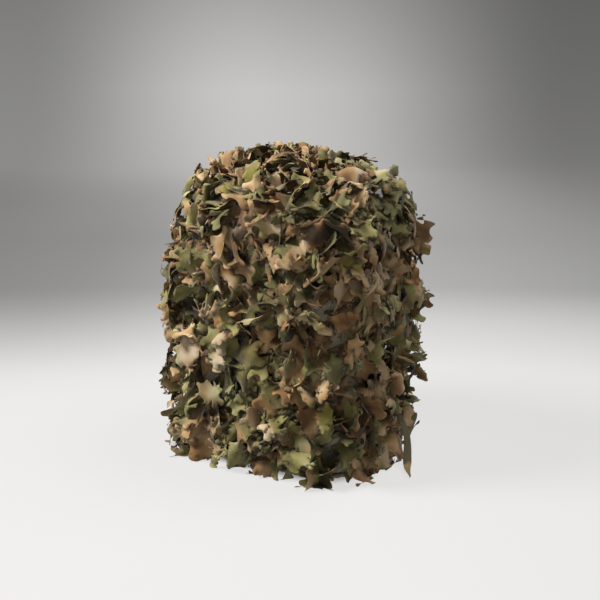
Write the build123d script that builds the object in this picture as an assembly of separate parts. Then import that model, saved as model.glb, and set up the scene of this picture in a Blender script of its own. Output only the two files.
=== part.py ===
from build123d import *
from math import cos, pi, sin, sqrt
import os

# A leaf camouflage cover pulled down over a filled, standing rucksack.
# Millimetres. +Z is up, -Y is the front of the rucksack, +Y its harness side.
# The origin is on the ground, under the middle of the whole object.

# --- driving dimensions -------------------------------------------------------------
COVER_HALF_WIDTH = 208.0  # middle of the cover to the outside of its net
COVER_FRONT = -168.0  # outside of the net at the front
COVER_BACK = 135.0  # edge of the net at the open back
COVER_TOP = 592.0
CROWN_TOP = 640.0  # tips of the leaves on top
COVER_CORNER = 85.0  # radius of the upright front corners
COVER_SHOULDER = 65.0  # radius where the walls turn into the top
NET = 1.6  # thickness of the net

LEAF_ROWS = 10
LEAF_PITCH = 61.0  # from one row of leaves to the next
FIRST_SEAM = 566.0  # where the first row's line crosses the middle of the front
ROW_RISE = 0.45  # the rows climb to the right across the front, because the net is cut askew
SEAM_HIGH = 538.0  # no row's seam is higher than this
SEAM_LOW = 50.0  # or lower than this
LEAF_LOWEST = 5.0  # where the lowest tips are trimmed
CORNER_FACETS = 4
LEAF_DROP = 78.0  # how far a row hangs down
LEAF_STAND = 40.5  # how far its tips stand out
LEAF_CLOTH = 2.0
LEAF_BACK = 147.0  # rows run a little past the edge of the net
TAPE = 1.5
TAPE_WIDTH = 12.0

BAG_WIDTH = 320.0
BAG_DEPTH = 210.0
BASE = 8.0
BAG_TOP = 503.0
BAG_CORNER = 30.0
CLOTH = 3.0
LID_TOP = 586.0
POCKET_FRONT = -150.0
POCKET_WIDTH = 236.0
POCKET_BOTTOM = 60.0
POCKET_TOP = 360.0
SIDE_POCKET_DEPTH = 40.0
SIDE_POCKET_WIDTH = 150.0
SIDE_POCKET_BOTTOM = 30.0
SIDE_POCKET_TOP = 330.0

FRAME_SHEET = 1.5
STAY_THICK = 3.0
STAY_WIDE = 25.0
STAY_X = 60.0
BACK_PANEL = 4.0
STRAP_X = 62.0  # middle of the body to the middle of a shoulder strap
STRAP_WIDE = 58.0
STRAP_THICK = 12.0
WEB = 1.6  # thickness of webbing
WEB_NARROW = 25.0
HINGE_X = 150.0  # where a hip wing folds
HINGE_Y = 130.0
WING_THICK = 16.0
HIP_Z = 110.0  # middle height of the hip belt
HAUL_Z = 540.0
HAUL_RADIUS = 28.0
HAUL_LEG = 14.0
HAUL_WIDE = 22.0

HEM_Z = 12.0  # middle of the hem channel
HEM_TUBE = 6.0  # its outer radius
ELASTIC = 1.5  # radius of the elastic cord
LOCK_Y = 150.0  # front face of the cord lock
LOCK_DEEP = 14.0
LOCK_TRAVEL = 4.0

# --- positions that follow from them ---------------------------------------------------
BAG_BACK = BAG_DEPTH / 2
SHEET_BACK = BAG_BACK + FRAME_SHEET
STAY_BACK = SHEET_BACK + STAY_THICK
PANEL_BACK = STAY_BACK + BACK_PANEL
SIDE = BAG_WIDTH / 2
HEM_X = COVER_HALF_WIDTH - NET / 2
STANDING = (Align.CENTER, Align.CENTER, Align.MIN)  # for cylinders placed by their bottom face


def span(x0, x1, y0, y1, z0, z1):
    """A box between two corners."""
    return Pos((x0 + x1) / 2, (y0 + y1) / 2, (z0 + z1) / 2) * Box(x1 - x0, y1 - y0, z1 - z0)


def mirrored(shape):
    """The same piece on the other side of the body."""
    return shape.mirror(Plane.YZ)


def write(name, *solids):
    """Save one sub-part, which may be a group of like pieces."""
    shape = solids[0] if len(solids) == 1 else Compound(children=list(solids))
    shape.label = name
    export_step(shape, f"parts/{name}.step")


def plan_edges(offset, back):
    """The cover's U-shaped plan, moved out by offset and open at the back."""
    half = COVER_HALF_WIDTH + offset
    front = COVER_FRONT - offset
    corner = COVER_CORNER + offset
    bulge = corner * (1 - sqrt(0.5))
    left = Line((-half, back), (-half, front + corner))
    left_arc = ThreePointArc(
        (-half, front + corner), (-half + bulge, front + bulge), (-half + corner, front)
    )
    middle = Line((-half + corner, front), (half - corner, front))
    right_arc = ThreePointArc(
        (half - corner, front), (half - bulge, front + bulge), (half, front + corner)
    )
    right = Line((half, front + corner), (half, back))
    return [left, left_arc, middle, right_arc, right]


def plan_points(offset, back, start_x, end_x):
    """The same plan with faceted corners that stand just outside the round ones.

    It runs from start_x to end_x on the front, or from and to the open back where these are None.
    """
    half = COVER_HALF_WIDTH + offset
    front = COVER_FRONT - offset
    corner = max(COVER_CORNER + offset, 6.0)
    step = pi / 2 / CORNER_FACETS
    reach = corner / cos(step / 2)
    turn = [
        (half - corner + reach * cos(a), front + corner - reach * sin(a))
        for a in [(k + 0.5) * step for k in range(CORNER_FACETS)]
    ]
    right = [(half, back)] + turn if end_x is None else [(end_x, front)]
    left = [(-half, back)] + [(-x, y) for x, y in turn] if start_x is None else [(start_x, front)]
    return left + right[::-1]


def ribbon_wire(inner, outer, z, back=LEAF_BACK, rise=0.0, start_x=None, end_x=None):
    """The outline of a thin U-shaped ribbon between two offsets, which may rise to the right."""
    outside = plan_points(outer, back, start_x, end_x)
    inside = plan_points(inner, back, start_x, end_x)
    corners = [(x, y, z + rise * x) for x, y in outside + inside[::-1]]
    return Polyline(*corners, close=True).wire()


def skirt(top, bottom, thick, **course):
    """A U-shaped skirt from (offset, height) at its seam to (offset, height) at its tips."""
    upper = ribbon_wire(top[0], top[0] + thick, top[1], **course)
    lower = ribbon_wire(bottom[0] - thick, bottom[0], bottom[1], **course)
    return Solid.make_loft([lower, upper], ruled=True)


# --- the leaf cover ----------------------------------------------------------------------
def cover_block(inset):
    """The space inside the cover's net, or the net's outside when inset is 0."""
    far_back = COVER_BACK + 2 * COVER_CORNER
    half = COVER_HALF_WIDTH - inset
    block = span(-half, half, COVER_FRONT + inset, far_back, HEM_Z + HEM_TUBE, COVER_TOP - inset)
    upright = block.edges().filter_by(Axis.Z).sort_by(Axis.Y)[:2]
    block = fillet(upright, COVER_CORNER - inset)
    rim = block.faces().sort_by(Axis.Z)[-1].edges()
    return fillet(rim, COVER_SHOULDER - inset)


def net_panels():
    """The net: a top, a front and two sides, sewn together at the seams."""
    net = cover_block(0) - cover_block(NET)
    low = HEM_Z + HEM_TUBE
    seam_x = COVER_HALF_WIDTH - COVER_CORNER
    shoulder = COVER_TOP - COVER_SHOULDER
    wide = COVER_HALF_WIDTH + 1
    front = COVER_FRONT - 1
    top = net & span(-wide, wide, front, COVER_BACK, shoulder, COVER_TOP + 1)
    face = net & span(-seam_x, seam_x, front, COVER_BACK, low, shoulder)
    right = net & span(seam_x, wide, front, COVER_BACK, low, shoulder)
    return top, face, right


def row_course(number):
    """Where a row runs: its seam's height at the middle, and where it starts and ends.

    The rows climb to the right across the front and are level on the sides. A row that would
    climb into the shoulder, or run out under the hem, ends on the front.
    """
    seam = FIRST_SEAM - number * LEAF_PITCH
    flat = COVER_HALF_WIDTH - COVER_CORNER
    highest_x = (SEAM_HIGH - seam) / ROW_RISE
    lowest_x = (SEAM_LOW - seam) / ROW_RISE
    end_x = None if highest_x >= COVER_HALF_WIDTH else min(max(highest_x, -flat), flat)
    start_x = None if lowest_x <= -COVER_HALF_WIDTH else min(max(lowest_x, -flat), flat)
    return seam, dict(rise=ROW_RISE, start_x=start_x, end_x=end_x)


def leaf_row(number):
    """One strip of cut leaves, sewn along its top edge and standing out at its tips."""
    seam, course = row_course(number)
    row = skirt((TAPE, seam), (TAPE + LEAF_STAND, seam - LEAF_DROP), LEAF_CLOTH, **course)
    if row.bounding_box().min.Z > LEAF_LOWEST:
        return row
    return row & span(-300, 300, -300, 300, LEAF_LOWEST, COVER_TOP)


def carrier_tape(number):
    """The tape on the net that a row of leaves is sewn to."""
    seam, course = row_course(number)
    low = ribbon_wire(0, TAPE, seam - TAPE_WIDTH / 2, COVER_BACK, **course)
    high = ribbon_wire(0, TAPE, seam + TAPE_WIDTH / 2, COVER_BACK, **course)
    return Solid.make_loft([low, high], ruled=True)


TOP_ROWS = {
    # seam and tips as (offset from the walls, height), then the level thickness
    "leaf_shoulder_low": ((-11, 568), (33, 500), 3.0),
    "leaf_shoulder_high": ((-38, 592), (28, 563), 5.0),
    "leaf_crown_outer": ((-100, 594), (-30, 604), 12.0),
    "leaf_crown_inner": ((-160, 594), (-88, 613), 8.0),
}


def crown_tuft():
    """The pile of leaves sewn over the middle of the top."""
    tuft = span(-40, 40, 0, COVER_BACK, COVER_TOP, CROWN_TOP)
    tuft = fillet(tuft.edges().filter_by(Axis.Z).sort_by(Axis.Y)[:2], 25)
    return fillet(tuft.faces().sort_by(Axis.Z)[-1].edges(), 12)


def back_binding():
    """The folded binding round the edge of the open back."""
    low = HEM_Z + HEM_TUBE
    height = COVER_TOP - low
    deep = LEAF_BACK - COVER_BACK

    def block(grow):
        half = COVER_HALF_WIDTH + grow
        body = span(-half, half, COVER_BACK, COVER_BACK + deep, low, low + height + grow)
        tops = body.edges().filter_by(Axis.Y).sort_by(Axis.Z)[-2:]
        return fillet(tops, COVER_SHOULDER + grow)

    return block(1.2) - block(-2.8)


def hem_path(left_end, right_end):
    """The line of the hem round the front, with its own end on each side."""
    edges = plan_edges(-NET / 2, COVER_BACK)
    edges[0] = Line((-HEM_X, left_end), edges[0] @ 1)
    edges[-1] = Line(edges[-1] @ 0, (HEM_X, right_end))
    return Pos(0, 0, HEM_Z) * Wire(edges)


def tube(path, radius):
    """A round bar along a path."""
    return sweep(Plane(origin=path @ 0, z_dir=path % 0) * Circle(radius), path=path)


def hem_channel():
    path = hem_path(COVER_BACK, COVER_BACK)
    return tube(path, HEM_TUBE) - tube(path, ELASTIC + 1.0)


def hem_elastic():
    return tube(hem_path(LOCK_Y + LOCK_DEEP, COVER_BACK - 2), ELASTIC)


LOCK_FLOOR = 3.6  # inside floor of the cord lock's bore
LOCK_TOP = 25.0
PLUNGER_FOOT = 8.0
PLUNGER_HEAD = 29.0
LOCK_MID = LOCK_Y + LOCK_DEEP / 2


def cord_lock_body():
    """A barrel with an upright bore for the plunger and a cross hole for the cord."""
    shell = span(-HEM_X - 8, -HEM_X + 8, LOCK_Y, LOCK_Y + LOCK_DEEP, 2, LOCK_TOP)
    shell = fillet(shell.edges().filter_by(Axis.Z), 5)
    bore = Pos(-HEM_X, LOCK_MID, LOCK_FLOOR) * Cylinder(4.5, LOCK_TOP, align=STANDING)
    hole = Pos(-HEM_X, LOCK_MID, HEM_Z) * Rot(90, 0, 0) * Cylinder(ELASTIC + 0.4, 2 * LOCK_DEEP)
    return shell - bore - hole


def cord_lock_plunger():
    """The button that is pressed to free the cord; its slot lets it travel past the cord."""
    button = Pos(-HEM_X, LOCK_MID, PLUNGER_FOOT) * Cylinder(
        4.1, PLUNGER_HEAD - PLUNGER_FOOT, align=STANDING
    )
    crown = button.edges().sort_by(Axis.Z)[-1]
    button = fillet(crown, 1.2)
    reach = ELASTIC + 0.4
    slot = span(
        -HEM_X - reach,
        -HEM_X + reach,
        LOCK_Y,
        LOCK_Y + LOCK_DEEP,
        HEM_Z - reach,
        HEM_Z + reach + LOCK_TRAVEL,
    )
    return button - slot


def cord_lock_spring():
    """The coil spring under the plunger, as the tube that it fills."""
    ring = Circle(3.6) - Circle(2.8)
    height = PLUNGER_FOOT - LOCK_FLOOR
    return Pos(-HEM_X, LOCK_MID, LOCK_FLOOR) * extrude(ring, height)


def limp_path(points):
    """Straight runs joined by the largest tangent arcs that they allow."""
    places = [Vector(*p) for p in points]
    radii = []
    for before, here, after in zip(places, places[1:], places[2:]):
        run_in = here - before
        run_out = after - here
        half_turn = run_in.get_angle(run_out) / 2
        shorter = min(run_in.length, run_out.length)
        radii.append(0.45 * shorter / tan_degrees(half_turn))
    return FilletPolyline(*places, radius=radii)


def tan_degrees(angle):
    unit = Vector(1, 0, 0).rotate(Axis.Z, angle)
    return unit.Y / unit.X


CORD_TAIL = [
    (-HEM_X, LOCK_Y + LOCK_DEEP, HEM_Z),
    (-206.5, 181.0, 10.0),
    (-200.0, 196.0, 4.5),
    (-189.5, 203.5, 3.0),
    (-178.0, 200.5, 4.0),
]
KNOT = 4.0

TIE_TAPE = [
    (209.6, 40.0, 128.0),
    (227.0, 38.0, 107.0),
    (250.0, 33.0, 86.0),
    (267.0, 24.0, 62.0),
    (277.0, 8.0, 37.0),
    (286.0, -14.0, 20.0),
    (301.0, -40.0, 12.0),
    (318.0, -66.0, 10.5),
]
TIE_WIDE = 18.0
TIE_THICK = 1.4


def tie_tape():
    """A loose woven tie that hangs from the cover's side; its end lies on the ground."""
    path = limp_path(TIE_TAPE)
    start = path % 0
    level = Vector(0, 1, 0)
    section = Plane(origin=path @ 0, x_dir=level - start * level.dot(start), z_dir=start)
    return sweep(section * Rectangle(TIE_WIDE, TIE_THICK), path=path, transition=Transition.RIGHT)


# --- the rucksack --------------------------------------------------------------------------
def bag_block(inset, low, high):
    plan = RectangleRounded(BAG_WIDTH - 2 * inset, BAG_DEPTH - 2 * inset, BAG_CORNER - inset)
    return Pos(0, 0, low) * extrude(plan, high - low)


def main_bag():
    outside = bag_block(0, BASE, BAG_TOP)
    return outside - bag_block(CLOTH, BASE + CLOTH, BAG_TOP - CLOTH)


def packed_load():
    gap = CLOTH + 0.5
    return bag_block(gap, BASE + gap, BAG_TOP - gap)


def base_panel():
    return extrude(RectangleRounded(BAG_WIDTH + 4, BAG_DEPTH, BAG_CORNER), BASE)


def lid_pocket():
    block = Pos(0, -5, BAG_TOP) * extrude(
        RectangleRounded(BAG_WIDTH - 4, BAG_DEPTH - 4, 40), LID_TOP - BAG_TOP
    )
    return fillet(block.faces().sort_by(Axis.Z)[-1].edges(), 34)


def outer_pocket(block, side, radius):
    """A sewn-on pocket, rounded along the edges of its outer face."""
    return fillet(block.faces().sort_by(side)[-1].edges(), radius)


def front_pocket():
    half = POCKET_WIDTH / 2
    block = span(-half, half, POCKET_FRONT, -BAG_BACK, POCKET_BOTTOM, POCKET_TOP)
    return outer_pocket(block, Axis((0, 0, 0), (0, -1, 0)), 22)


def side_pocket():
    half = SIDE_POCKET_WIDTH / 2
    outside = SIDE + SIDE_POCKET_DEPTH
    block = span(SIDE, outside, -half, half, SIDE_POCKET_BOTTOM, SIDE_POCKET_TOP)
    return outer_pocket(block, Axis.X, 18)


ZIP_Z = 325.0
ZIP_THICK = 1.5
ZIP_HALF = 100.0
SLIDER_X = -94.0


def pocket_zip():
    front = POCKET_FRONT
    return span(-ZIP_HALF, ZIP_HALF, front - ZIP_THICK, front, ZIP_Z - 3, ZIP_Z + 3)


def zip_slider():
    """The slider with its pull, which hangs in front of the pocket."""
    near = POCKET_FRONT - ZIP_THICK - 0.35
    runner = span(SLIDER_X - 5, SLIDER_X + 5, near - 2.6, near, ZIP_Z - 5, ZIP_Z + 5)
    runner = fillet(runner.edges().filter_by(Axis.Y), 2)
    pull = span(SLIDER_X - 3, SLIDER_X + 3, near - 3.8, near - 2.6, ZIP_Z - 26, ZIP_Z + 2)
    return runner + fillet(pull.edges().filter_by(Axis.Y), 2)


SIDE_STRAPS = (350.0, 420.0)


def side_strap(z):
    return span(SIDE, SIDE + WEB, -88, 88, z - WEB_NARROW / 2, z + WEB_NARROW / 2)


def strap_buckle(block, out):
    """A side-release buckle on a strap, rounded on its outer face."""
    return fillet(block.faces().sort_by(out)[-1].edges(), 2.5)


def side_buckle(z):
    outside = SIDE + WEB
    return strap_buckle(span(outside, outside + 8, -62, -26, z - 16, z + 16), Axis.X)


def lid_strap():
    front = -BAG_BACK
    return span(70 - 12.5, 70 + 12.5, front - WEB, front, POCKET_TOP, BAG_TOP)


def lid_buckle():
    front = -BAG_BACK - WEB
    return strap_buckle(span(70 - 16, 70 + 16, front - 8, front, 420, 460), Axis((0, 0, 0), (0, -1, 0)))


def frame_sheet():
    sheet = span(-130, 130, BAG_BACK, SHEET_BACK, 30, 495)
    return fillet(sheet.edges().filter_by(Axis.Y), 25)


def frame_stay():
    half = STAY_WIDE / 2
    stay = span(STAY_X - half, STAY_X + half, SHEET_BACK, STAY_BACK, 40, 485)
    return fillet(stay.edges().filter_by(Axis.Y), 8)


def back_panel():
    panel = span(-HINGE_X, HINGE_X, STAY_BACK, PANEL_BACK, 14, 550)
    return fillet(panel.edges().filter_by(Axis.Y), 35)


def pad(block, radius):
    """A padded block, rounded where it faces the wearer."""
    return fillet(block.faces().sort_by(Axis.Y)[-1].edges(), radius)


def back_pad():
    return pad(span(18, 100, PANEL_BACK, PANEL_BACK + 12, 245, 470), 8)


def lumbar_pad():
    return pad(span(-120, 120, PANEL_BACK, PANEL_BACK + 14, 58, 162), 9)


def strap_line():
    """The side view of a shoulder strap, as (y, z) points on an arc."""
    return ThreePointArc((110, 516), (203.3, 372), (134, 212))


def shoulder_strap():
    profile = Plane.YZ * trace(strap_line(), STRAP_THICK)
    strap = Pos(STRAP_X, 0, 0) * extrude(profile, STRAP_WIDE / 2, both=True)
    return strap & span(0, SIDE, PANEL_BACK, 400, 0, COVER_TOP)


LOCK_LONG = 20.0


def strap_end():
    """Where the shoulder strap's padding ends, and which way it points."""
    line = strap_line()
    end = line @ 1
    way = line % 1
    return Vector(STRAP_X, end.X, end.Y), Vector(0, way.X, way.Y)


def strap_adjuster():
    """The ladder lock at the foot of a shoulder strap."""
    end, way = strap_end()
    seat = Plane(origin=end, x_dir=(1, 0, 0), z_dir=way)
    body = seat * extrude(Rectangle(32, 7), LOCK_LONG)
    slot = seat * Pos(0, 0, LOCK_LONG * 0.62) * Box(26, 9, 3)
    return body - slot


def lower_strap():
    """Webbing from the ladder lock down to the back panel."""
    end, way = strap_end()
    top = end + way * LOCK_LONG
    line = Line((top.Y, top.Z), (PANEL_BACK - 3, 166))
    web = Pos(STRAP_X, 0, 0) * extrude(Plane.YZ * trace(line, WEB), WEB_NARROW / 2, both=True)
    return (web & span(0, SIDE, PANEL_BACK, 400, 0, COVER_TOP)) - strap_adjuster()


STERNUM_Z = 430.0
STERNUM_BUCKLE = 15.0


def strap_y(z):
    """The middle of the shoulder strap at a height."""
    arc = strap_line().edge()
    centre = arc.arc_center
    return centre.X + sqrt(arc.radius**2 - (z - centre.Y) ** 2)


def sternum_strap():
    inner = STRAP_X - STRAP_WIDE / 2
    y = strap_y(STERNUM_Z)
    return span(STERNUM_BUCKLE, inner, y - WEB / 2, y + WEB / 2, STERNUM_Z - 10, STERNUM_Z + 10)


def sternum_buckle():
    y = strap_y(STERNUM_Z)
    clip = span(-STERNUM_BUCKLE, STERNUM_BUCKLE, y - 5, y + 5, STERNUM_Z - 13, STERNUM_Z + 13)
    return fillet(clip.edges().filter_by(Axis.X), 4)


def haul_loop():
    """A webbing hand loop, sewn on at both ends; it hangs down behind the back panel."""
    drop = HAUL_Z - HAUL_LEG
    outer = Pos(0, drop) * Circle(HAUL_RADIUS) + Pos(0, drop + HAUL_LEG / 2) * Rectangle(
        2 * HAUL_RADIUS, HAUL_LEG
    )
    inner_radius = HAUL_RADIUS - 2.5
    hollow = Pos(0, drop) * Circle(inner_radius) + Pos(0, drop + HAUL_RADIUS / 2) * Rectangle(
        2 * inner_radius, HAUL_RADIUS
    )
    band = (outer - hollow) & (Pos(0, HAUL_Z - 50) * Rectangle(100, 100))
    near = PANEL_BACK + 1.0
    return Pos(0, near + HAUL_WIDE, 0) * extrude(Plane.XZ * band, HAUL_WIDE)


WING_TIP = 60.0
BUCKLE_NEAR = 4.0
BUCKLE_FAR = 44.0


def hip_wing():
    """The padded half of the hip belt, folded in flat against the lumbar pad."""
    root = HINGE_X - 2
    outline = Polyline(
        (root, HIP_Z - 48), (root, HIP_Z + 48), (WING_TIP, HIP_Z + 27), (WING_TIP, HIP_Z - 27), close=True
    )
    far = HINGE_Y + WING_THICK
    wing = Pos(0, far, 0) * extrude(Plane.XZ * make_face(outline), WING_THICK)
    return fillet(wing.faces().sort_by(Axis.Y)[-1].edges(), 5)


def hip_webbing():
    middle = HINGE_Y + WING_THICK / 2
    return span(BUCKLE_FAR, WING_TIP, middle - WEB / 2, middle + WEB / 2, HIP_Z - 19, HIP_Z + 19)


def hip_socket():
    """The open half of the hip buckle, with its mouth and two side windows."""
    middle = HINGE_Y + WING_THICK / 2
    shell = span(BUCKLE_NEAR, BUCKLE_FAR, middle - 6, middle + 6, HIP_Z - 24, HIP_Z + 24)
    shell = fillet(shell.edges().filter_by(Axis.X), 4)
    mouth = span(BUCKLE_NEAR - 1, 34, middle - 4, middle + 4, HIP_Z - 19, HIP_Z + 19)
    window = span(16, 28, middle - 3, middle + 3, HIP_Z - 30, HIP_Z + 30)
    return shell - mouth - window


def hip_plug():
    """The pronged half of the hip buckle."""
    middle = HINGE_Y + WING_THICK / 2
    body = span(24, BUCKLE_FAR, middle - 5, middle + 5, HIP_Z - 22, HIP_Z + 22)
    plug = fillet(body.edges().filter_by(Axis.X), 3)
    for z in (-15, 0, 15):
        plug += span(BUCKLE_NEAR + 2, 24, middle - 2.5, middle + 2.5, HIP_Z + z - 3, HIP_Z + z + 3)
    return plug


def write_cover():
    top, face, right = net_panels()
    write("cover_net_top", top)
    write("cover_net_front", face)
    write("cover_net_right", right)
    write("cover_net_left", mirrored(right))
    write("cover_back_binding", back_binding())
    write("cover_hem_channel", hem_channel())
    write("carrier_tapes", *[carrier_tape(n) for n in range(LEAF_ROWS)])
    for n in range(LEAF_ROWS):
        write(f"leaf_row_{n + 1}", leaf_row(n))
    for name, (seam, tips, thick) in TOP_ROWS.items():
        write(name, skirt(seam, tips, thick))
    write("leaf_crown_tuft", crown_tuft())
    write("hem_elastic", hem_elastic())
    write("cord_lock_body", cord_lock_body())
    write("cord_lock_plunger", cord_lock_plunger())
    write("cord_lock_spring", cord_lock_spring())
    write("hem_cord_tail", tube(limp_path(CORD_TAIL), ELASTIC))
    write("hem_cord_knot", Pos(*CORD_TAIL[-1]) * Sphere(KNOT) - tube(limp_path(CORD_TAIL), ELASTIC))
    write("tie_tape", tie_tape())


def write_rucksack():
    write("main_bag", main_bag())
    write("packed_load", packed_load())
    write("base_panel", base_panel())
    write("lid_pocket", lid_pocket())
    write("front_pocket", front_pocket())
    write("side_pocket_right", side_pocket())
    write("side_pocket_left", mirrored(side_pocket()))
    write("pocket_zip", pocket_zip())
    write("zip_slider", zip_slider())
    straps = [side_strap(z) for z in SIDE_STRAPS] + [lid_strap()]
    write("compression_straps", *straps, *[mirrored(s) for s in straps])
    buckles = [side_buckle(z) for z in SIDE_STRAPS] + [lid_buckle()]
    write("strap_buckles", *buckles, *[mirrored(b) for b in buckles])
    write("frame_sheet", frame_sheet())
    write("frame_stays", frame_stay(), mirrored(frame_stay()))
    write("back_panel", back_panel())
    write("back_pads", back_pad(), mirrored(back_pad()))
    write("lumbar_pad", lumbar_pad())
    write("shoulder_strap_right", shoulder_strap())
    write("shoulder_strap_left", mirrored(shoulder_strap()))
    write("strap_adjusters", strap_adjuster(), mirrored(strap_adjuster()))
    write("lower_straps", lower_strap(), mirrored(lower_strap()))
    write("sternum_straps", sternum_strap(), mirrored(sternum_strap()))
    write("sternum_buckle", sternum_buckle())
    write("haul_loop", haul_loop())
    write("hip_wing_right", hip_wing())
    write("hip_wing_left", mirrored(hip_wing()))
    write("hip_webbing_right", hip_webbing())
    write("hip_webbing_left", mirrored(hip_webbing()))
    write("hip_buckle_socket", hip_socket())
    write("hip_buckle_plug", mirrored(hip_plug()))


os.makedirs("parts", exist_ok=True)
write_cover()
write_rucksack()
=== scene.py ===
import math

import bmesh
import bpy
import numpy as np
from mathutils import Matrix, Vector
from mathutils.geometry import delaunay_2d_cdt


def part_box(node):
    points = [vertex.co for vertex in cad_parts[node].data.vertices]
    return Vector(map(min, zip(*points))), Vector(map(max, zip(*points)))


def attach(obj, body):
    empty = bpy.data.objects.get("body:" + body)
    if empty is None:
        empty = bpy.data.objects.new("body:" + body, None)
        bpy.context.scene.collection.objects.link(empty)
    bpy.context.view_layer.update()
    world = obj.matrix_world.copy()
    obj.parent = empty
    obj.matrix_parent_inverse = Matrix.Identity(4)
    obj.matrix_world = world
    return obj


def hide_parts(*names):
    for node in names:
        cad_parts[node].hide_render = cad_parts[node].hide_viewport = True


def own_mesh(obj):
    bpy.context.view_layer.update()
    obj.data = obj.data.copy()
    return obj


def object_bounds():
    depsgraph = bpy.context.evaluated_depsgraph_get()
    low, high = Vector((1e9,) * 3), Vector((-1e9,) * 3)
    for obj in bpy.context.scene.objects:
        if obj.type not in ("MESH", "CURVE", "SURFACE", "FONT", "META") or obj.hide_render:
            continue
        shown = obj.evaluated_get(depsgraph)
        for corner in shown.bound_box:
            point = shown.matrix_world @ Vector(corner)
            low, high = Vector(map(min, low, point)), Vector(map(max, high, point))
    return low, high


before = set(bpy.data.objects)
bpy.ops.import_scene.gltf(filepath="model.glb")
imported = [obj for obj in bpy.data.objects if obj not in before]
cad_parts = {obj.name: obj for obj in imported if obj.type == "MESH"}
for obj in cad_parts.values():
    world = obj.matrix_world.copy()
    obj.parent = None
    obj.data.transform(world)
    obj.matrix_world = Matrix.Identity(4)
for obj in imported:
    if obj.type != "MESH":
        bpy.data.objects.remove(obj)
CAD_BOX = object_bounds()

# A leaf camouflage cover over a standing rucksack. Metres, in the frame of the CAD model.
# s runs round the cover's plan from its left back edge, q runs up its walls and over the top.

# --- places and sizes, from the frame -------------------------------------------------------
NET_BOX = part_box("cover_net_top")
WALL_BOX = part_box("cover_net_front")
HALF = NET_BOX[1].x
FRONT = NET_BOX[0].y
BACK = NET_BOX[1].y
TOP = NET_BOX[1].z
SHOULDER_Z = NET_BOX[0].z
HEM_Z = WALL_BOX[0].z
SHOULDER = TOP - SHOULDER_Z
CORNER = HALF - WALL_BOX[1].x
SIDE_RUN = BACK - (FRONT + CORNER)
ARC_RUN = math.pi / 2 * CORNER
FRONT_RUN = 2 * (HALF - CORNER)
GIRTH = 2 * SIDE_RUN + 2 * ARC_RUN + FRONT_RUN
MIDDLE_Z = (CAD_BOX[0].z + CAD_BOX[1].z) / 2


# --- camera, light and floor ---------------------------------------------------------------
CAMERA_AZIMUTH = math.radians(30.0)
CAMERA_RISE = math.radians(16.0)
CAMERA_AWAY = 2.50
LENS = 70.0
SENSOR = 36.0
AIM = Vector((0.015, 0.009, MIDDLE_Z + 0.003))
LIGHTS = (
    ("key", (-1.9, -1.5, 3.0), 1.2, 272.0, (1.0, 0.985, 0.96)),
    ("front_fill", (1.2, -3.4, 1.6), 2.4, 14.0, (0.98, 0.99, 1.0)),
    ("overhead", (0.9, 0.9, 3.2), 1.8, 95.0, (0.98, 0.99, 1.0)),
)
SKY_COLOUR = (0.97, 0.98, 1.0, 1)
SKY = 0.011


def make_camera():
    data = bpy.data.cameras.new("camera")
    data.lens = LENS
    data.sensor_width = SENSOR
    cam = bpy.data.objects.new("camera", data)
    flat = math.cos(CAMERA_RISE)
    away = Vector((
        math.sin(CAMERA_AZIMUTH) * flat,
        -math.cos(CAMERA_AZIMUTH) * flat,
        math.sin(CAMERA_RISE),
    ))
    cam.location = AIM + away * CAMERA_AWAY
    cam.rotation_euler = (-away).to_track_quat("-Z", "Y").to_euler()
    bpy.context.collection.objects.link(cam)
    bpy.context.scene.camera = cam


def area_light(name, place, size, power, colour):
    """A round lamp that is aimed at the middle of the object."""
    data = bpy.data.lights.new(name, "AREA")
    data.shape = "DISK"
    data.size = size
    data.energy = power
    data.color = colour
    lamp = bpy.data.objects.new(name, data)
    lamp.location = place
    aim = Vector((0, 0, MIDDLE_Z)) - Vector(place)
    lamp.rotation_euler = aim.to_track_quat("-Z", "Y").to_euler()
    bpy.context.collection.objects.link(lamp)


def make_lights():
    for light in LIGHTS:
        area_light(*light)
    world = bpy.data.worlds.new("studio")
    world.use_nodes = True
    sky = world.node_tree.nodes["Background"]
    sky.inputs["Color"].default_value = SKY_COLOUR
    sky.inputs["Strength"].default_value = SKY
    bpy.context.scene.world = world
    bpy.context.scene.view_settings.view_transform = "Standard"


make_camera()
make_lights()


# --- small helpers ----------------------------------------------------------------------------
CLOTH_THICK = 0.0005


def new_object(name, mesh):
    """A smooth-shaded object in the scene."""
    obj = bpy.data.objects.new(name, mesh)
    bpy.context.collection.objects.link(obj)
    mesh.polygons.foreach_set("use_smooth", np.ones(len(mesh.polygons), dtype=bool))
    return obj


def mesh_from(name, points, faces, **fields):
    """A mesh from arrays, with point attributes: an (n,) field is a number, (n, 3) a vector."""
    mesh = bpy.data.meshes.new(name)
    mesh.from_pydata([tuple(p) for p in points], [], [tuple(f) for f in faces])
    for key, values in fields.items():
        values = np.asarray(values, dtype=np.float32)
        kind = "FLOAT" if values.ndim == 1 else "FLOAT_VECTOR"
        slot = "value" if values.ndim == 1 else "vector"
        mesh.attributes.new(key, kind, "POINT").data.foreach_set(slot, values.ravel())
    mesh.update()
    return mesh


def grid_faces(rows, cols, wrap=False):
    """Quads of a grid of points stored row by row."""
    last = cols if wrap else cols - 1
    return [
        (r * cols + c, r * cols + (c + 1) % cols, (r + 1) * cols + (c + 1) % cols, (r + 1) * cols + c)
        for r in range(rows - 1)
        for c in range(last)
    ]


def thicken(obj):
    """Give a single layer the thickness of thin cloth, half of it on each side."""
    solid = obj.modifiers.new("cloth thickness", "SOLIDIFY")
    solid.thickness = CLOTH_THICK
    solid.offset = 0.0


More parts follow.
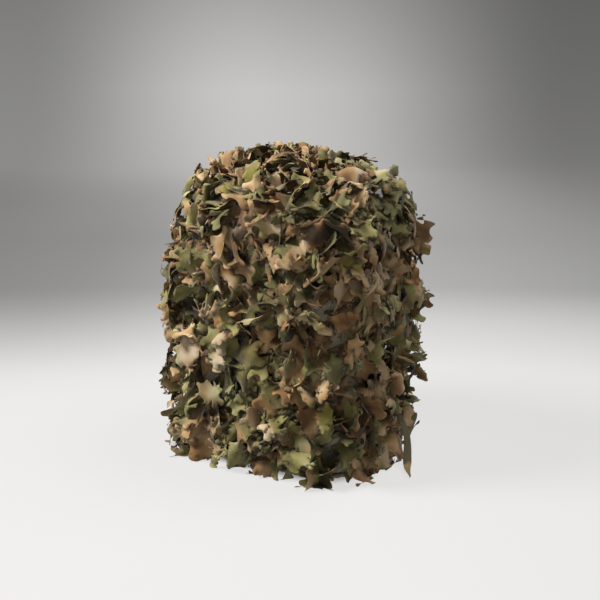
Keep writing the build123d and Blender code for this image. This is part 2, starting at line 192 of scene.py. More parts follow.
def band(width, thick, count=14):
    """The section of a flat band with rounded edges, as (across, out) pairs."""
    angle = np.linspace(0, 2 * math.pi, count, endpoint=False) + 0.01
    across, out = np.cos(angle), np.sin(angle)
    across = np.sign(across) * np.abs(across) ** 0.35
    out = np.sign(out) * np.abs(out) ** 0.7
    return np.stack([width / 2 * across, thick / 2 * out], -1)


def ring(radius, count=10):
    """The section of a round cord."""
    angle = np.linspace(0, 2 * math.pi, count, endpoint=False)
    return radius * np.stack([np.cos(angle), np.sin(angle)], -1)


def sweep(line, across, section, ends="capped"):
    """Points, faces and cut coordinates of a section carried along a line.

    The ends are capped, open, or joined to each other.
    """
    line = np.asarray(line, float)
    along = np.gradient(line, axis=0)
    along /= np.linalg.norm(along, axis=1, keepdims=True)
    across = np.broadcast_to(np.asarray(across, float), line.shape)
    across = across - along * (across * along).sum(1, keepdims=True)
    across = across / np.linalg.norm(across, axis=1, keepdims=True)
    out = np.cross(across, along)
    section = np.broadcast_to(section, (len(line), *np.shape(section)[-2:]))
    points = line[:, None] + across[:, None] * section[..., :1] + out[:, None] * section[..., 1:]
    count = section.shape[1]
    faces = grid_faces(len(line), count, wrap=True)
    if ends == "joined":
        last = (len(line) - 1) * count
        faces += [(last + k, last + (k + 1) % count, (k + 1) % count, k) for k in range(count)]
    if ends == "capped":
        last = (len(line) - 1) * count
        faces += [tuple(range(count))[::-1], tuple(range(last, last + count))]
    run = np.linalg.norm(np.diff(line, axis=0), axis=1)
    distance = np.concatenate([[0.0], np.cumsum(run)])
    cut = np.concatenate([np.broadcast_to(distance[:, None, None], (*section.shape[:2], 1)), section], -1)
    return points.reshape(-1, 3), faces, cut.reshape(-1, 3)


def join_parts(name, parts):
    """One object from several swept parts."""
    starts = np.cumsum([0] + [len(part[0]) for part in parts])
    points = np.concatenate([part[0] for part in parts])
    faces = [tuple(v + start for v in face) for part, start in zip(parts, starts) for face in part[1]]
    mesh = mesh_from(name, points, faces, cut=np.concatenate([part[2] for part in parts]))
    outward(mesh)
    return new_object(name, mesh)


def outward(mesh):
    """Turn every face of a closed mesh outwards."""
    work = bmesh.new()
    work.from_mesh(mesh)
    bmesh.ops.recalc_face_normals(work, faces=work.faces)
    work.to_mesh(mesh)
    work.free()


def spline_line(controls):
    """Points along the spline that has these control points."""
    curve = bpy.data.curves.new("line", "CURVE")
    curve.dimensions = "3D"
    spline = curve.splines.new("NURBS")
    spline.points.add(len(controls) - 1)
    for point, place in zip(spline.points, controls):
        point.co = (*place, 1.0)
    spline.order_u = 3
    spline.use_endpoint_u = True
    spline.resolution_u = 12
    holder = bpy.data.objects.new("line", curve)
    mesh = bpy.data.meshes.new_from_object(holder)
    line = np.array([v.co for v in mesh.vertices])
    bpy.data.objects.remove(holder)
    bpy.data.meshes.remove(mesh)
    return line


def finish_piece(obj, body, material, slot, *nodes):
    """Give a piece its material, its body, and the CAD nodes that it stands for."""
    obj.data.materials.clear()
    obj.data.materials.append(material)
    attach(obj, body)
    if nodes:
        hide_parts(*nodes)


# --- free cords ---------------------------------------------------------------------------------------
TAIL_LINE = [
    (-0.2072, 0.1640, 0.0120),
    (-0.2065, 0.1810, 0.0100),
    (-0.2000, 0.1960, 0.0045),
    (-0.1895, 0.2035, 0.0030),
    (-0.1780, 0.2005, 0.0040),
]
TIE_LINE = [
    (0.2096, 0.0400, 0.1280),
    (0.2270, 0.0380, 0.1070),
    (0.2500, 0.0330, 0.0860),
    (0.2670, 0.0240, 0.0620),
    (0.2770, 0.0080, 0.0370),
    (0.2860, -0.0140, 0.0200),
    (0.3010, -0.0400, 0.0120),
    (0.3180, -0.0660, 0.0105),
]
CORD_THICK = 0.003
KNOT_REACH = 0.0011
KNOT_CORD_RADIUS = 0.0013
TIE_WIDE = 0.018
TIE_THICK = 0.0012


def make_knot(place):
    """An overhand knot of the same cord."""
    t = np.linspace(0, 2 * math.pi, 72, endpoint=False)
    loop = np.stack([np.sin(t) + 2 * np.sin(2 * t), np.cos(t) - 2 * np.cos(2 * t), -np.sin(3 * t)], -1)
    knot = sweep(place + loop * KNOT_REACH, (0, 0, 1), ring(KNOT_CORD_RADIUS, 8), ends="joined")
    return join_parts("hem_cord_knot_tied", [knot])


def make_tail():
    """The free end of the hem's elastic cord, and the knot at its tip."""
    line = spline_line(TAIL_LINE)
    tail = join_parts("hem_cord_tail_cord", [sweep(line, (0, 0, 1), ring(CORD_THICK / 2))])
    knot = make_knot(line[-1] + np.array([0.001, 0, 0.0004]))
    return tail, knot


def make_tie():
    """A flat tie that twists as it hangs and narrows at its end."""
    line = spline_line(TIE_LINE)
    turn = np.linspace(0, 1, len(line))
    angle = 1.25 * turn**1.6
    along = np.gradient(line, axis=0)
    along /= np.linalg.norm(along, axis=1, keepdims=True)
    level = np.array([0.0, 1.0, 0.0]) - along * along[:, 1:2]
    level /= np.linalg.norm(level, axis=1, keepdims=True)
    other = np.cross(along, level)
    across = level * np.cos(angle)[:, None] + other * np.sin(angle)[:, None]
    taper = np.clip((1.03 - turn) / 0.16, 0.35, 1.0)
    section = band(TIE_WIDE, TIE_THICK) * np.stack([taper, np.ones_like(taper)], -1)[:, None]
    tie = join_parts("tie_tape_woven", [sweep(line, across, section)])
    return tie


HEM_TAIL, HEM_KNOT = make_tail()
TIE = make_tie()


# --- the cover's surface ----------------------------------------------------------------------
def plan(s, offset):
    """Point and outward direction on the cover's plan, moved out by offset."""
    s, offset = np.broadcast_arrays(np.asarray(s, float), np.asarray(offset, float))
    inset = np.maximum(CORNER, -offset)
    radius = np.maximum(CORNER + offset, 0.0)
    mirrored = s > GIRTH / 2
    along = np.where(mirrored, GIRTH - s, s)
    on_side = np.clip(along / SIDE_RUN, None, 1.0)
    on_arc = np.clip((along - SIDE_RUN) / ARC_RUN, 0.0, 1.0)
    on_front = np.clip((along - SIDE_RUN - ARC_RUN) / (FRONT_RUN / 2), 0.0, 1.0)
    side_x = -(HALF + offset)
    side_y = BACK + on_side * (FRONT + inset - BACK)
    turn = on_arc * math.pi / 2
    arc_x = -HALF + inset - radius * np.cos(turn)
    arc_y = FRONT + inset - radius * np.sin(turn)
    front_x = (-HALF + inset) * (1 - on_front)
    x = np.where(on_arc <= 0, side_x, np.where(on_front <= 0, arc_x, front_x))
    y = np.where(on_arc <= 0, side_y, np.where(on_front <= 0, arc_y, FRONT - offset))
    nx, ny = -np.cos(turn), -np.sin(turn)
    flip = np.where(mirrored, -1.0, 1.0)
    return x * flip, y, nx * flip, ny


SAG_EDGE = 0.010
SAG_CORNER = 0.030
SAG_REACH = 0.90


def sag(turn, nx, ny):
    """How far the cover sinks in at the shoulder, most at the corners, where nothing holds it up."""
    from_shoulder = (turn / (math.pi / 2) - 0.5) / SAG_REACH
    return (SAG_EDGE + SAG_CORNER * np.abs(2 * nx * ny)) * np.exp(-from_shoulder**2)


def surface(s, q):
    """Point, outward direction, level direction and upward direction on the net.

    q is the height up to the shoulder, and goes on along the surface above it.
    """
    s, q = np.broadcast_arrays(np.asarray(s, float), np.asarray(q, float))
    turn = np.clip((q - SHOULDER_Z) / SHOULDER, 0.0, math.pi / 2)
    over = np.maximum(q - SHOULDER_Z - SHOULDER * math.pi / 2, 0.0)
    offset = -SHOULDER * (1 - np.cos(turn)) - over
    z = np.minimum(q, SHOULDER_Z) + SHOULDER * np.sin(turn)
    x, y, nx, ny = plan(s, offset)
    tilt, rise = np.cos(turn), np.sin(turn)
    out = np.stack([nx * tilt, ny * tilt, rise], -1)
    point = np.stack([x, y, z], -1) - out * sag((q - SHOULDER_Z) / SHOULDER, nx, ny)[..., None]
    level = np.stack([-ny, nx, np.zeros_like(nx)], -1)
    up = np.stack([-nx * rise, -ny * rise, tilt], -1)
    return point, out, level, up


def clearance(points):
    """Distance outside the net, and the outward direction, of any points near it."""
    x, y, z = points[..., 0], points[..., 1], points[..., 2]
    reach = np.stack([np.abs(x) - HALF, FRONT - y], -1) + CORNER
    beyond = np.maximum(reach, 0.0)
    distance = np.hypot(beyond[..., 0], beyond[..., 1])
    plan_gap = distance + np.minimum(reach.max(-1), 0.0) - CORNER
    size = np.maximum(distance, 1e-9)
    flat_x = np.where(reach[..., 0] > reach[..., 1], 1.0, 0.0)
    outside = distance > 1e-9
    nx = np.where(outside, beyond[..., 0] / size, flat_x) * np.sign(x)
    ny = -np.where(outside, beyond[..., 1] / size, 1 - flat_x)
    a, b = plan_gap + SHOULDER, z - TOP + SHOULDER
    over_a, over_b = np.maximum(a, 0.0), np.maximum(b, 0.0)
    length = np.hypot(over_a, over_b)
    gap = length + np.minimum(np.maximum(a, b), 0.0) - SHOULDER
    safe = np.maximum(length, 1e-9)
    wall = np.where(length > 1e-9, over_a / safe, np.where(a > b, 1.0, 0.0))
    lift = np.where(length > 1e-9, over_b / safe, np.where(a > b, 0.0, 1.0))
    turn = np.arctan2(over_b, over_a) + (np.minimum(b, 0.0) - np.minimum(a, 0.0)) / SHOULDER
    gap = gap + sag(turn, nx, ny)
    return gap, np.stack([nx * wall, ny * wall, lift], -1)


# --- materials ------------------------------------------------------------------------------------
class Shader:
    """A material with one Principled shader, and short calls for its nodes."""

    def __init__(self, name, roughness=0.8, sheen=0.0):
        self.material = bpy.data.materials.new(name)
        self.material.use_nodes = True
        self.tree = self.material.node_tree
        self.surface = self.tree.nodes["Principled BSDF"]
        self.surface.inputs["Roughness"].default_value = roughness
        self.surface.inputs["Sheen Weight"].default_value = sheen
        self.surface.inputs["Specular IOR Level"].default_value = 0.25

    def node(self, kind, links=(), **settings):
        made = self.tree.nodes.new(kind)
        for key, value in settings.items():
            setattr(made, key, value)
        for socket, source in dict(links).items():
            self.set(made.inputs[socket], source)
        return made

    def set(self, socket, source):
        if isinstance(source, bpy.types.NodeSocket):
            self.tree.links.new(source, socket)
        else:
            socket.default_value = source

    def field(self, name):
        return self.node("ShaderNodeAttribute", attribute_name=name)

    def place(self):
        return self.node("ShaderNodeTexCoord").outputs["Object"]

    def noise(self, where, scale, detail=2.0, rough=0.5, warp=0.0):
        links = {"Vector": where, "Scale": scale, "Detail": detail, "Roughness": rough, "Distortion": warp}
        return self.node("ShaderNodeTexNoise", links).outputs["Fac"]

    def shift(self, where, by):
        made = self.node("ShaderNodeVectorMath", {0: where, 1: by}, operation="ADD")
        return made.outputs[0]

    def maths(self, operation, a, b=0.0):
        return self.node("ShaderNodeMath", {0: a, 1: b}, operation=operation).outputs[0]

    def wave(self, value, pitch, operation="SINE"):
        """Ripples from -1 to 1 that are pitch apart."""
        return self.maths(operation, self.maths("MULTIPLY", value, 2 * math.pi / pitch))

    def axes(self, where):
        """The three coordinates of a vector."""
        return self.node("ShaderNodeSeparateXYZ", {0: where}).outputs

    def ramp(self, value, stops):
        made = self.node("ShaderNodeValToRGB", {"Fac": value})
        points = made.color_ramp.elements
        while len(points) < len(stops):
            points.new(0.5)
        for point, (at, colour) in zip(points, stops):
            point.position = at
            point.color = (*colour, 1.0)
        return made.outputs["Color"]

    def step(self, value, low, high):
        links = {"Value": value, "From Min": low, "From Max": high}
        made = self.node("ShaderNodeMapRange", links, interpolation_type="SMOOTHSTEP")
        return made.outputs["Result"]

    def mix(self, amount, a, b, blend="MIX"):
        made = self.node("ShaderNodeMix", data_type="RGBA", blend_type=blend)
        self.set(made.inputs[0], amount)
        self.set(made.inputs[6], a if isinstance(a, bpy.types.NodeSocket) else (*a, 1.0))
        self.set(made.inputs[7], b if isinstance(b, bpy.types.NodeSocket) else (*b, 1.0))
        return made.outputs[2]

    def bump(self, height, strength, distance, under=None):
        links = {"Height": height, "Strength": strength, "Distance": distance}
        if under is not None:
            links["Normal"] = under
        return self.node("ShaderNodeBump", links).outputs["Normal"]

    def colour(self, source):
        self.set(self.surface.inputs["Base Color"], source)

    def normal(self, source):
        self.set(self.surface.inputs["Normal"], source)


TAN = [
    (0.30, (0.070, 0.038, 0.015)),
    (0.40, (0.250, 0.125, 0.043)),
    (0.50, (0.440, 0.265, 0.110)),
    (0.60, (0.590, 0.410, 0.230)),
    (0.72, (0.690, 0.545, 0.380)),
]
GREEN = [
    (0.30, (0.038, 0.030, 0.010)),
    (0.40, (0.118, 0.100, 0.027)),
    (0.50, (0.215, 0.188, 0.058)),
    (0.60, (0.335, 0.300, 0.118)),
    (0.72, (0.500, 0.470, 0.240)),
]
PRINT_DEPTH = 0.60
WEAVE_PITCH = 0.0011
NET_PITCH = 0.0033
NET_OPEN = 0.40
TAPE_RIB = 0.0016
TAPE_STITCH = 0.0032
TAPE_SEAM = 0.0040


def camouflage(shade, where):
    """The soft-edged print of the cloth: tans and greens that run into each other."""
    hue = shade.noise(where, 7.5, 2.0, 0.45, 0.6)
    depth = shade.noise(shade.shift(where, (3.1, 7.7, 1.3)), 13.0, 2.5, 0.5, 0.4)
    tan = shade.ramp(depth, TAN)
    green = shade.ramp(depth, GREEN)
    cloth = shade.mix(shade.step(hue, 0.46, 0.56), tan, green)
    lime = shade.noise(shade.shift(where, (9.4, 2.2, 6.1)), 10.0, 1.0, 0.5)
    cloth = shade.mix(shade.step(lime, 0.66, 0.74), cloth, (0.230, 0.205, 0.038))
    dark = shade.noise(shade.shift(where, (5.5, 1.9, 8.8)), 16.0, 3.0, 0.55)
    cloth = shade.mix(shade.step(dark, 0.60, 0.70), cloth, (0.045, 0.036, 0.022))
    return shade.mix(1.0, cloth, (PRINT_DEPTH,) * 3, "MULTIPLY")


def weave(shade, where):
    """Height of a plain weave."""
    along, across, _ = shade.axes(where)
    return shade.maths("MULTIPLY", shade.wave(along, WEAVE_PITCH), shade.wave(across, WEAVE_PITCH))


def leaf_cloth():
    """Printed cloth: each leaf has its own tone, made darker for leaves in the hollows between clumps as
    painted shade, with a darker cut edge, fine fibres and soft creases.
    """
    shade = Shader("printed_leaf_cloth", roughness=0.86, sheen=0.12)
    where = shade.field("cut").outputs["Vector"]
    tone_and_painted_shade = shade.field("tone_and_painted_shade").outputs["Fac"]
    rim = shade.field("rim").outputs["Fac"]
    cloth = camouflage(shade, where)
    fibre = shade.noise(where, 420.0, 2.0, 0.6)
    cloth = shade.mix(0.16, cloth, shade.ramp(fibre, [(0.3, (0.02,) * 3), (0.7, (0.6,) * 3)]), "SOFT_LIGHT")
    cloth = shade.mix(shade.step(rim, 0.90, 1.0), cloth, shade.mix(0.45, cloth, (0.03, 0.02, 0.012)))
    # The per-leaf tone field scales the cloth's brightness: a random tone, with painted shade for leaves in
    # the hollows.
    bright = shade.node("ShaderNodeHueSaturation", {"Value": tone_and_painted_shade, "Color": cloth}).outputs["Color"]
    shade.colour(bright)
    crease = shade.bump(shade.noise(where, 70.0, 3.0, 0.6, 0.8), 0.35, 0.002)
    shade.normal(shade.bump(weave(shade, where), 0.25, 0.0003, crease))
    return shade.material


def net_cloth():
    """Knitted net: printed threads with square holes between them."""
    shade = Shader("printed_net", roughness=0.8)
    where = shade.field("cut").outputs["Vector"]
    along, across, _ = shade.axes(where)
    warp = shade.wave(along, NET_PITCH, "COSINE")
    weft = shade.wave(across, NET_PITCH, "COSINE")
    thread = shade.maths("MAXIMUM", warp, weft)
    cloth = camouflage(shade, where)
    pale = shade.noise(shade.shift(where, (2.0, 4.4, 0.7)), 9.0, 1.0)
    shade.colour(shade.mix(shade.step(pale, 0.42, 0.56), cloth, (0.50, 0.46, 0.34)))
    shade.set(shade.surface.inputs["Alpha"], shade.maths("GREATER_THAN", thread, NET_OPEN))
    shade.normal(shade.bump(thread, 0.5, 0.0004))
    return shade.material


def tape_cloth():
    """Narrow printed tape with a herringbone weave and a line of stitches near each edge."""
    shade = Shader("woven_tape", roughness=0.82)
    where = shade.field("cut").outputs["Vector"]
    along, across, _ = shade.axes(where)
    from_middle = shade.maths("ABSOLUTE", across)
    rib = shade.wave(shade.maths("ADD", along, from_middle), TAPE_RIB)
    cloth = shade.mix(shade.noise(where, 12.0, 2.0), (0.080, 0.072, 0.036), (0.220, 0.165, 0.088))
    stitch = shade.wave(along, TAPE_STITCH)
    edge = shade.maths("COMPARE", from_middle, TAPE_SEAM)
    edge.node.inputs[2].default_value = 0.0005
    sewn = shade.maths("MULTIPLY", shade.maths("GREATER_THAN", stitch, -0.2), edge)
    shade.colour(shade.mix(shade.maths("MULTIPLY", sewn, 0.8), cloth, (0.050, 0.042, 0.026)))
    shade.normal(shade.bump(rib, 0.4, 0.0004))
    return shade.material


def tie_cloth():
    """The tie: dark olive brown, golden tan near its end."""
    shade = Shader("tie_cloth", roughness=0.75, sheen=0.1)
    where = shade.field("cut").outputs["Vector"]
    along = shade.axes(where)[0]
    ragged = shade.maths("ADD", along, shade.maths("MULTIPLY", shade.noise(where, 60.0), 0.04))
    end = shade.step(ragged, 0.170, 0.190)
    shade.colour(shade.mix(end, (0.085, 0.070, 0.034), (0.420, 0.285, 0.120)))
    shade.normal(shade.bump(weave(shade, where), 0.3, 0.0003))
    return shade.material


def woven_band(name, colour, pitch=0.0018):
    """Nylon webbing: ribs across the band."""
    shade = Shader(name, roughness=0.62, sheen=0.15)
    where = shade.field("cut").outputs["Vector"]
    along, across, _ = shade.axes(where)
    long_rib = shade.wave(across, pitch * 1.6)
    cross_rib = shade.wave(along, pitch)
    pattern = shade.maths("MULTIPLY", long_rib, cross_rib)
    dark = tuple(0.6 * c for c in colour)
    shade.colour(shade.mix(shade.maths("MULTIPLY_ADD", pattern, 0.3), colour, dark))
    shade.normal(shade.bump(pattern, 0.5, 0.0005))
    return shade.material


def fabric(name, colour, pitch, wear=0.25, roughness=0.8):
    """Plain pack cloth: a weave in all three directions, with slightly faded patches."""
    shade = Shader(name, roughness=roughness, sheen=0.08)
    where = shade.place()
    waves = [shade.wave(axis, pitch) for axis in shade.axes(where)]
    height = shade.maths("MULTIPLY", waves[0], waves[1])
    height = shade.maths("ADD", height, shade.maths("MULTIPLY", waves[1], waves[2]))
    height = shade.maths("ADD", height, shade.maths("MULTIPLY", waves[2], waves[0]))
    faded = tuple(c * 1.5 + 0.02 for c in colour)
    patch = shade.maths("MULTIPLY", shade.noise(where, 14.0, 4.0, 0.6), wear * 2)
    shade.colour(shade.mix(patch, colour, faded))
    crease = shade.bump(shade.noise(where, 45.0, 3.0, 0.5, 0.7), 0.3, 0.003)
    shade.normal(shade.bump(height, 0.35, pitch * 0.4, crease))
    return shade.material


def hard(name, colour, roughness=0.45, metallic=0.0):
    """Moulded plastic or metal with a fine surface grain and a few worn spots."""
    shade = Shader(name, roughness=roughness)
    shade.surface.inputs["Metallic"].default_value = metallic
    shade.surface.inputs["Specular IOR Level"].default_value = 0.5
    where = shade.place()
    worn = tuple(min(1.0, c * 1.6 + 0.01) for c in colour)
    spots = shade.step(shade.noise(where, 90.0, 3.0, 0.6), 0.55, 0.8)
    shade.colour(shade.mix(shade.maths("MULTIPLY", spots, 0.4), colour, worn))
    shade.normal(shade.bump(shade.noise(where, 500.0, 2.0), 0.15, 0.0003))
    return shade.material


OLIVE = (0.056, 0.054, 0.030)
NET_CLOTH = net_cloth()
TAPE_CLOTH = tape_cloth()
TIE_CLOTH = tie_cloth()
ELASTIC = woven_band("elastic_cord", (0.060, 0.055, 0.035), 0.0012)
WEBBING = woven_band("webbing", (0.075, 0.070, 0.040))
PACK_CLOTH = fabric("pack_cloth", OLIVE, 0.0014)
BASE_CLOTH = fabric("coated_base_cloth", (0.040, 0.040, 0.028), 0.0018, roughness=0.6)
LINER_CLOTH = fabric("liner_cloth", (0.150, 0.150, 0.120), 0.0012)
PAD_CLOTH = fabric("pad_mesh", (0.050, 0.050, 0.034), 0.0036, wear=0.15, roughness=0.9)
PIPING = fabric("edge_tape", (0.045, 0.043, 0.026), 0.0012)
BUCKLES = hard("buckle_plastic", (0.030, 0.030, 0.022))
LOCK_PLASTIC = hard("lock_plastic", (0.022, 0.022, 0.020), roughness=0.38)
FRAME_PLASTIC = hard("frame_plastic", (0.020, 0.020, 0.020), roughness=0.5)
ALLOY = hard("frame_alloy", (0.520, 0.530, 0.540), roughness=0.32, metallic=1.0)
ZIP_METAL = hard("zip_metal", (0.200, 0.190, 0.170), roughness=0.35, metallic=1.0)
STEEL = hard("spring_steel", (0.560, 0.560, 0.580), roughness=0.25, metallic=1.0)
ZIP_COIL = hard("zip_coil", (0.035, 0.034, 0.026), roughness=0.5)
LEAF_CLOTH = leaf_cloth()


finish_piece(HEM_TAIL, "leaf_cover", ELASTIC, "elastic_cord", "hem_cord_tail")
finish_piece(HEM_KNOT, "leaf_cover", ELASTIC, "elastic_cord", "hem_cord_knot")
finish_piece(TIE, "leaf_cover", TIE_CLOTH, "tape_cloth", "tie_tape")


# --- the shape of the cut leaves ------------------------------------------------------------------
PATTERN_STEP = 0.115
LEAF_PLANS = (
    (4, 0.42, 0.22, 2),
    (5, 0.45, 0.21, 2),
    (5, 0.40, 0.20, 2),
    (4, 0.40, 0.24, 2),
    (3, 0.40, 0.22, 2),
    (5, 0.28, 0.15, 2),
    (5, 0.13, 0.06, 1),
)
LEAVES_PER_PLAN = 4


def bite(start, end, depth, points):
    """A round notch between two lobes, cut towards the middle of the leaf."""
    start, end = np.array(start), np.array(end)
    run = end - start
    inward = np.array([-run[1], run[0]]) / np.hypot(*run)
    t = np.linspace(0, 1, points, endpoint=False)[:, None]
    return start + run * t + inward * depth * np.sin(math.pi * t) ** 0.6


def rounded(outline, passes):
    """Corner cutting, which turns sharp tips into soft fingers."""
    for _ in range(passes):
        ahead = np.roll(outline, -1, axis=0)
        outline = np.stack([0.75 * outline + 0.25 * ahead, 0.25 * outline + 0.75 * ahead], 1).reshape(-1, 2)
    return outline


def leaf_outline(random, lobes, reach, deep, soft):
    """An oak-like leaf: a neck at (0, 0), blunt lobes with round bites between them, a tip near (0, 1)."""
    pitch = 0.70 / lobes

    def side(sign):
        ends = []
        for k in range(lobes):
            at = 0.22 + pitch * k + random.uniform(-0.12, 0.12) * pitch
            out = sign * reach * (0.60 + 0.45 * math.sin(math.pi * (0.10 + 0.82 * k / lobes)))
            out *= random.uniform(0.80, 1.22)
            wide = pitch * random.uniform(0.44, 0.72) / 2
            ends.append([(out, at - wide), (out * random.uniform(0.86, 1.08), at + wide + 0.015)])
        return ends

    right = side(1)
    left = [lobe[::-1] for lobe in side(-1)[::-1]]
    tip = [(reach * random.uniform(0.15, 0.35), 0.98), (-reach * random.uniform(0.15, 0.35), 1.0)]
    groups = [[(-0.05, 0.0), (0.05, 0.0)]] + right + [tip] + left
    outline = []
    for group, following in zip(groups, groups[1:] + groups[:1]):
        outline.append(np.array([group[0]]))
        chord = math.dist(group[1], following[0])
        room = (abs(group[1][0]) + abs(following[0][0])) / 2 - 0.08
        depth = max(0.015, min(room, deep * random.uniform(0.7, 1.4), 2.2 * chord))
        outline.append(bite(group[1], following[0], depth, 4))
    return rounded(np.concatenate(outline), soft)


def leaf_pattern(random, lobes, reach, deep, soft):
    """Flat mesh of one leaf: points, triangles, and 1 on the cut edge."""
    outline = leaf_outline(random, lobes, reach, deep, soft)
    count = len(outline)
    inner = [
        Vector((x + random.uniform(-0.01, 0.01), y + random.uniform(-0.01, 0.01)))
        for x in np.arange(-0.69, 0.70, PATTERN_STEP)
        for y in np.arange(0.03, 1.0, PATTERN_STEP)
    ]
    border = [Vector(p) for p in outline]
    edges = [(k, (k + 1) % count) for k in range(count)]
    points, _, faces, source, _, _ = delaunay_2d_cdt(border + inner, edges, [list(range(count))], 1, 1e-5)
    used = sorted({v for f in faces for v in f})
    renumber = {v: k for k, v in enumerate(used)}
    flat = np.array([points[v] for v in used])
    triangles = np.array([[renumber[v] for v in f] for f in faces if len(f) == 3])
    rim = np.array([1.0 if any(k < count for k in source[v]) else 0.0 for v in used])
    return flat, triangles, rim


def leaf_patterns():
    """Several flat leaves of each plan: number of lobes, reach, depth of the bites, softness."""
    random = np.random.default_rng(11)
    return [leaf_pattern(random, *leaf_plan) for leaf_plan in LEAF_PLANS for _ in range(LEAVES_PER_PLAN)]


PATTERNS = leaf_patterns()


# --- hanging the leaves -----------------------------------------------------------------------------
FLOOR_GAP = 0.0016
NET_GAP = 0.0026
LEAF_SHORT = 0.056
LEAF_LONG = 0.112
RELIEF_HEIGHTS = (0.10, 0.26, 0.44, 0.55)
RELIEF_WALL = (0.060, 0.048, 0.044, 0.036)
RELIEF_MOST = 0.062
RELIEF_CROWN = 0.074
HOLLOW = 0.38
CLUMP = 0.022
STRAY = 0.75
STRAY_SHARE = 0.20
PILE = 0.013


def bend(flat, length, random, droop):
    """Curl a flat leaf: it is cupped across, bent and twisted along, and slightly crumpled."""
    u, v = flat[:, 0] * length, flat[:, 1] * length
    cup = random.normal(0, 11.0)
    crumple = np.zeros_like(u)
    for _ in range(3):
        wave, phase = random.normal(0, 60.0, 2), random.uniform(0, 6.3)
        crumple += 0.0016 * np.sin(wave[0] * u + wave[1] * v + phase)
    fold = random.uniform(-0.8, 0.8) if random.random() < 0.4 else 0.0
    across = np.sin(np.clip(cup * u, -1.4, 1.4)) / cup
    height = (1 - np.cos(np.clip(cup * u, -1.4, 1.4))) / cup + fold * np.abs(u) + crumple
    twist = random.normal(0, 0.40) * v / length
    across, height = (
        across * np.cos(twist) - height * np.sin(twist),
        across * np.sin(twist) + height * np.cos(twist),
    )
    turn = droop[0] * v / length + droop[1] * (v / length) ** 2
    order = np.argsort(v)
    run = np.diff(v[order], prepend=0.0)
    middle = turn[order]
    forward = np.zeros_like(v)
    upward = np.zeros_like(v)
    forward[order] = np.cumsum(np.cos(middle) * run)
    upward[order] = np.cumsum(np.sin(middle) * run)
    return np.stack([across, forward - height * np.sin(turn), upward + height * np.cos(turn)], -1)


def smooth(low, high, value):
    """0 below low, 1 above high, and smooth in between."""
    t = np.clip((value - low) / (high - low), 0.0, 1.0)
    return t * t * (3 - 2 * t)


def dome(points):
    """1 in the middle of the top, 0 at its edges."""
    from_middle = np.hypot(points[:, 0] / HALF, (points[:, 1] + 0.015) / (BACK - FRONT) * 2)
    return 1 - smooth(0.30, 0.95, from_middle)


def relief(points, heap):
    """How far leaves may stand off the net: less towards the shoulders and in the hollows between clumps."""
    wall = np.interp(points[:, 2], RELIEF_HEIGHTS, RELIEF_WALL)
    wall = np.minimum(wall * (HOLLOW + (1 - HOLLOW) * heap), RELIEF_MOST)
    crown = RELIEF_CROWN * (1 - 0.50 * (1 - min(heap, 1.0)))
    return wall + np.sqrt(dome(points)) * (crown - wall)


def draw_in(leaf, heap):
    """Move a whole leaf inwards where it stands off too far, so that it keeps its shape."""
    gap, out = clearance(leaf)
    excess = float((gap - 0.90 * relief(leaf, heap)).max())
    room = float(np.percentile(gap, 30)) - 0.004
    return leaf - out.mean(0) * min(max(excess, 0.0), max(room, 0.0))


def settle(points, heap):
    """Keep leaves outside the net, within the cover's depth, and on the floor."""
    below = np.maximum(FLOOR_GAP - points[:, 2], 0.0)
    _, out = clearance(points)
    points = points + out * np.array([1.0, 1.0, 0.0]) * (0.55 * below)[:, None]
    points[:, 2] = np.maximum(points[:, 2], FLOOR_GAP + 0.08 * below)
    gap, out = clearance(points)
    points = points + out * np.maximum(NET_GAP - gap, 0.0)[:, None]
    most = relief(points, heap)
    far = np.maximum(gap - most * 0.88, 0.0)
    spare = most * 0.12
    points = points - out * (far - spare * np.tanh(far / spare))[:, None]
    points[:, 2] = np.maximum(points[:, 2], FLOOR_GAP)
    return points


def clump(s, q):
    """0 in the hollows between clumps of leaves, 1 in the middle of a clump."""
    wave = math.sin(38.0 * s + 9.0 * q + 0.6)
    wave += math.sin(27.0 * q - 21.0 * s + 2.2)
    wave += math.sin(52.0 * q + 16.0 * s)
    return min(max(0.5 + wave / 4, 0.0), 1.0)


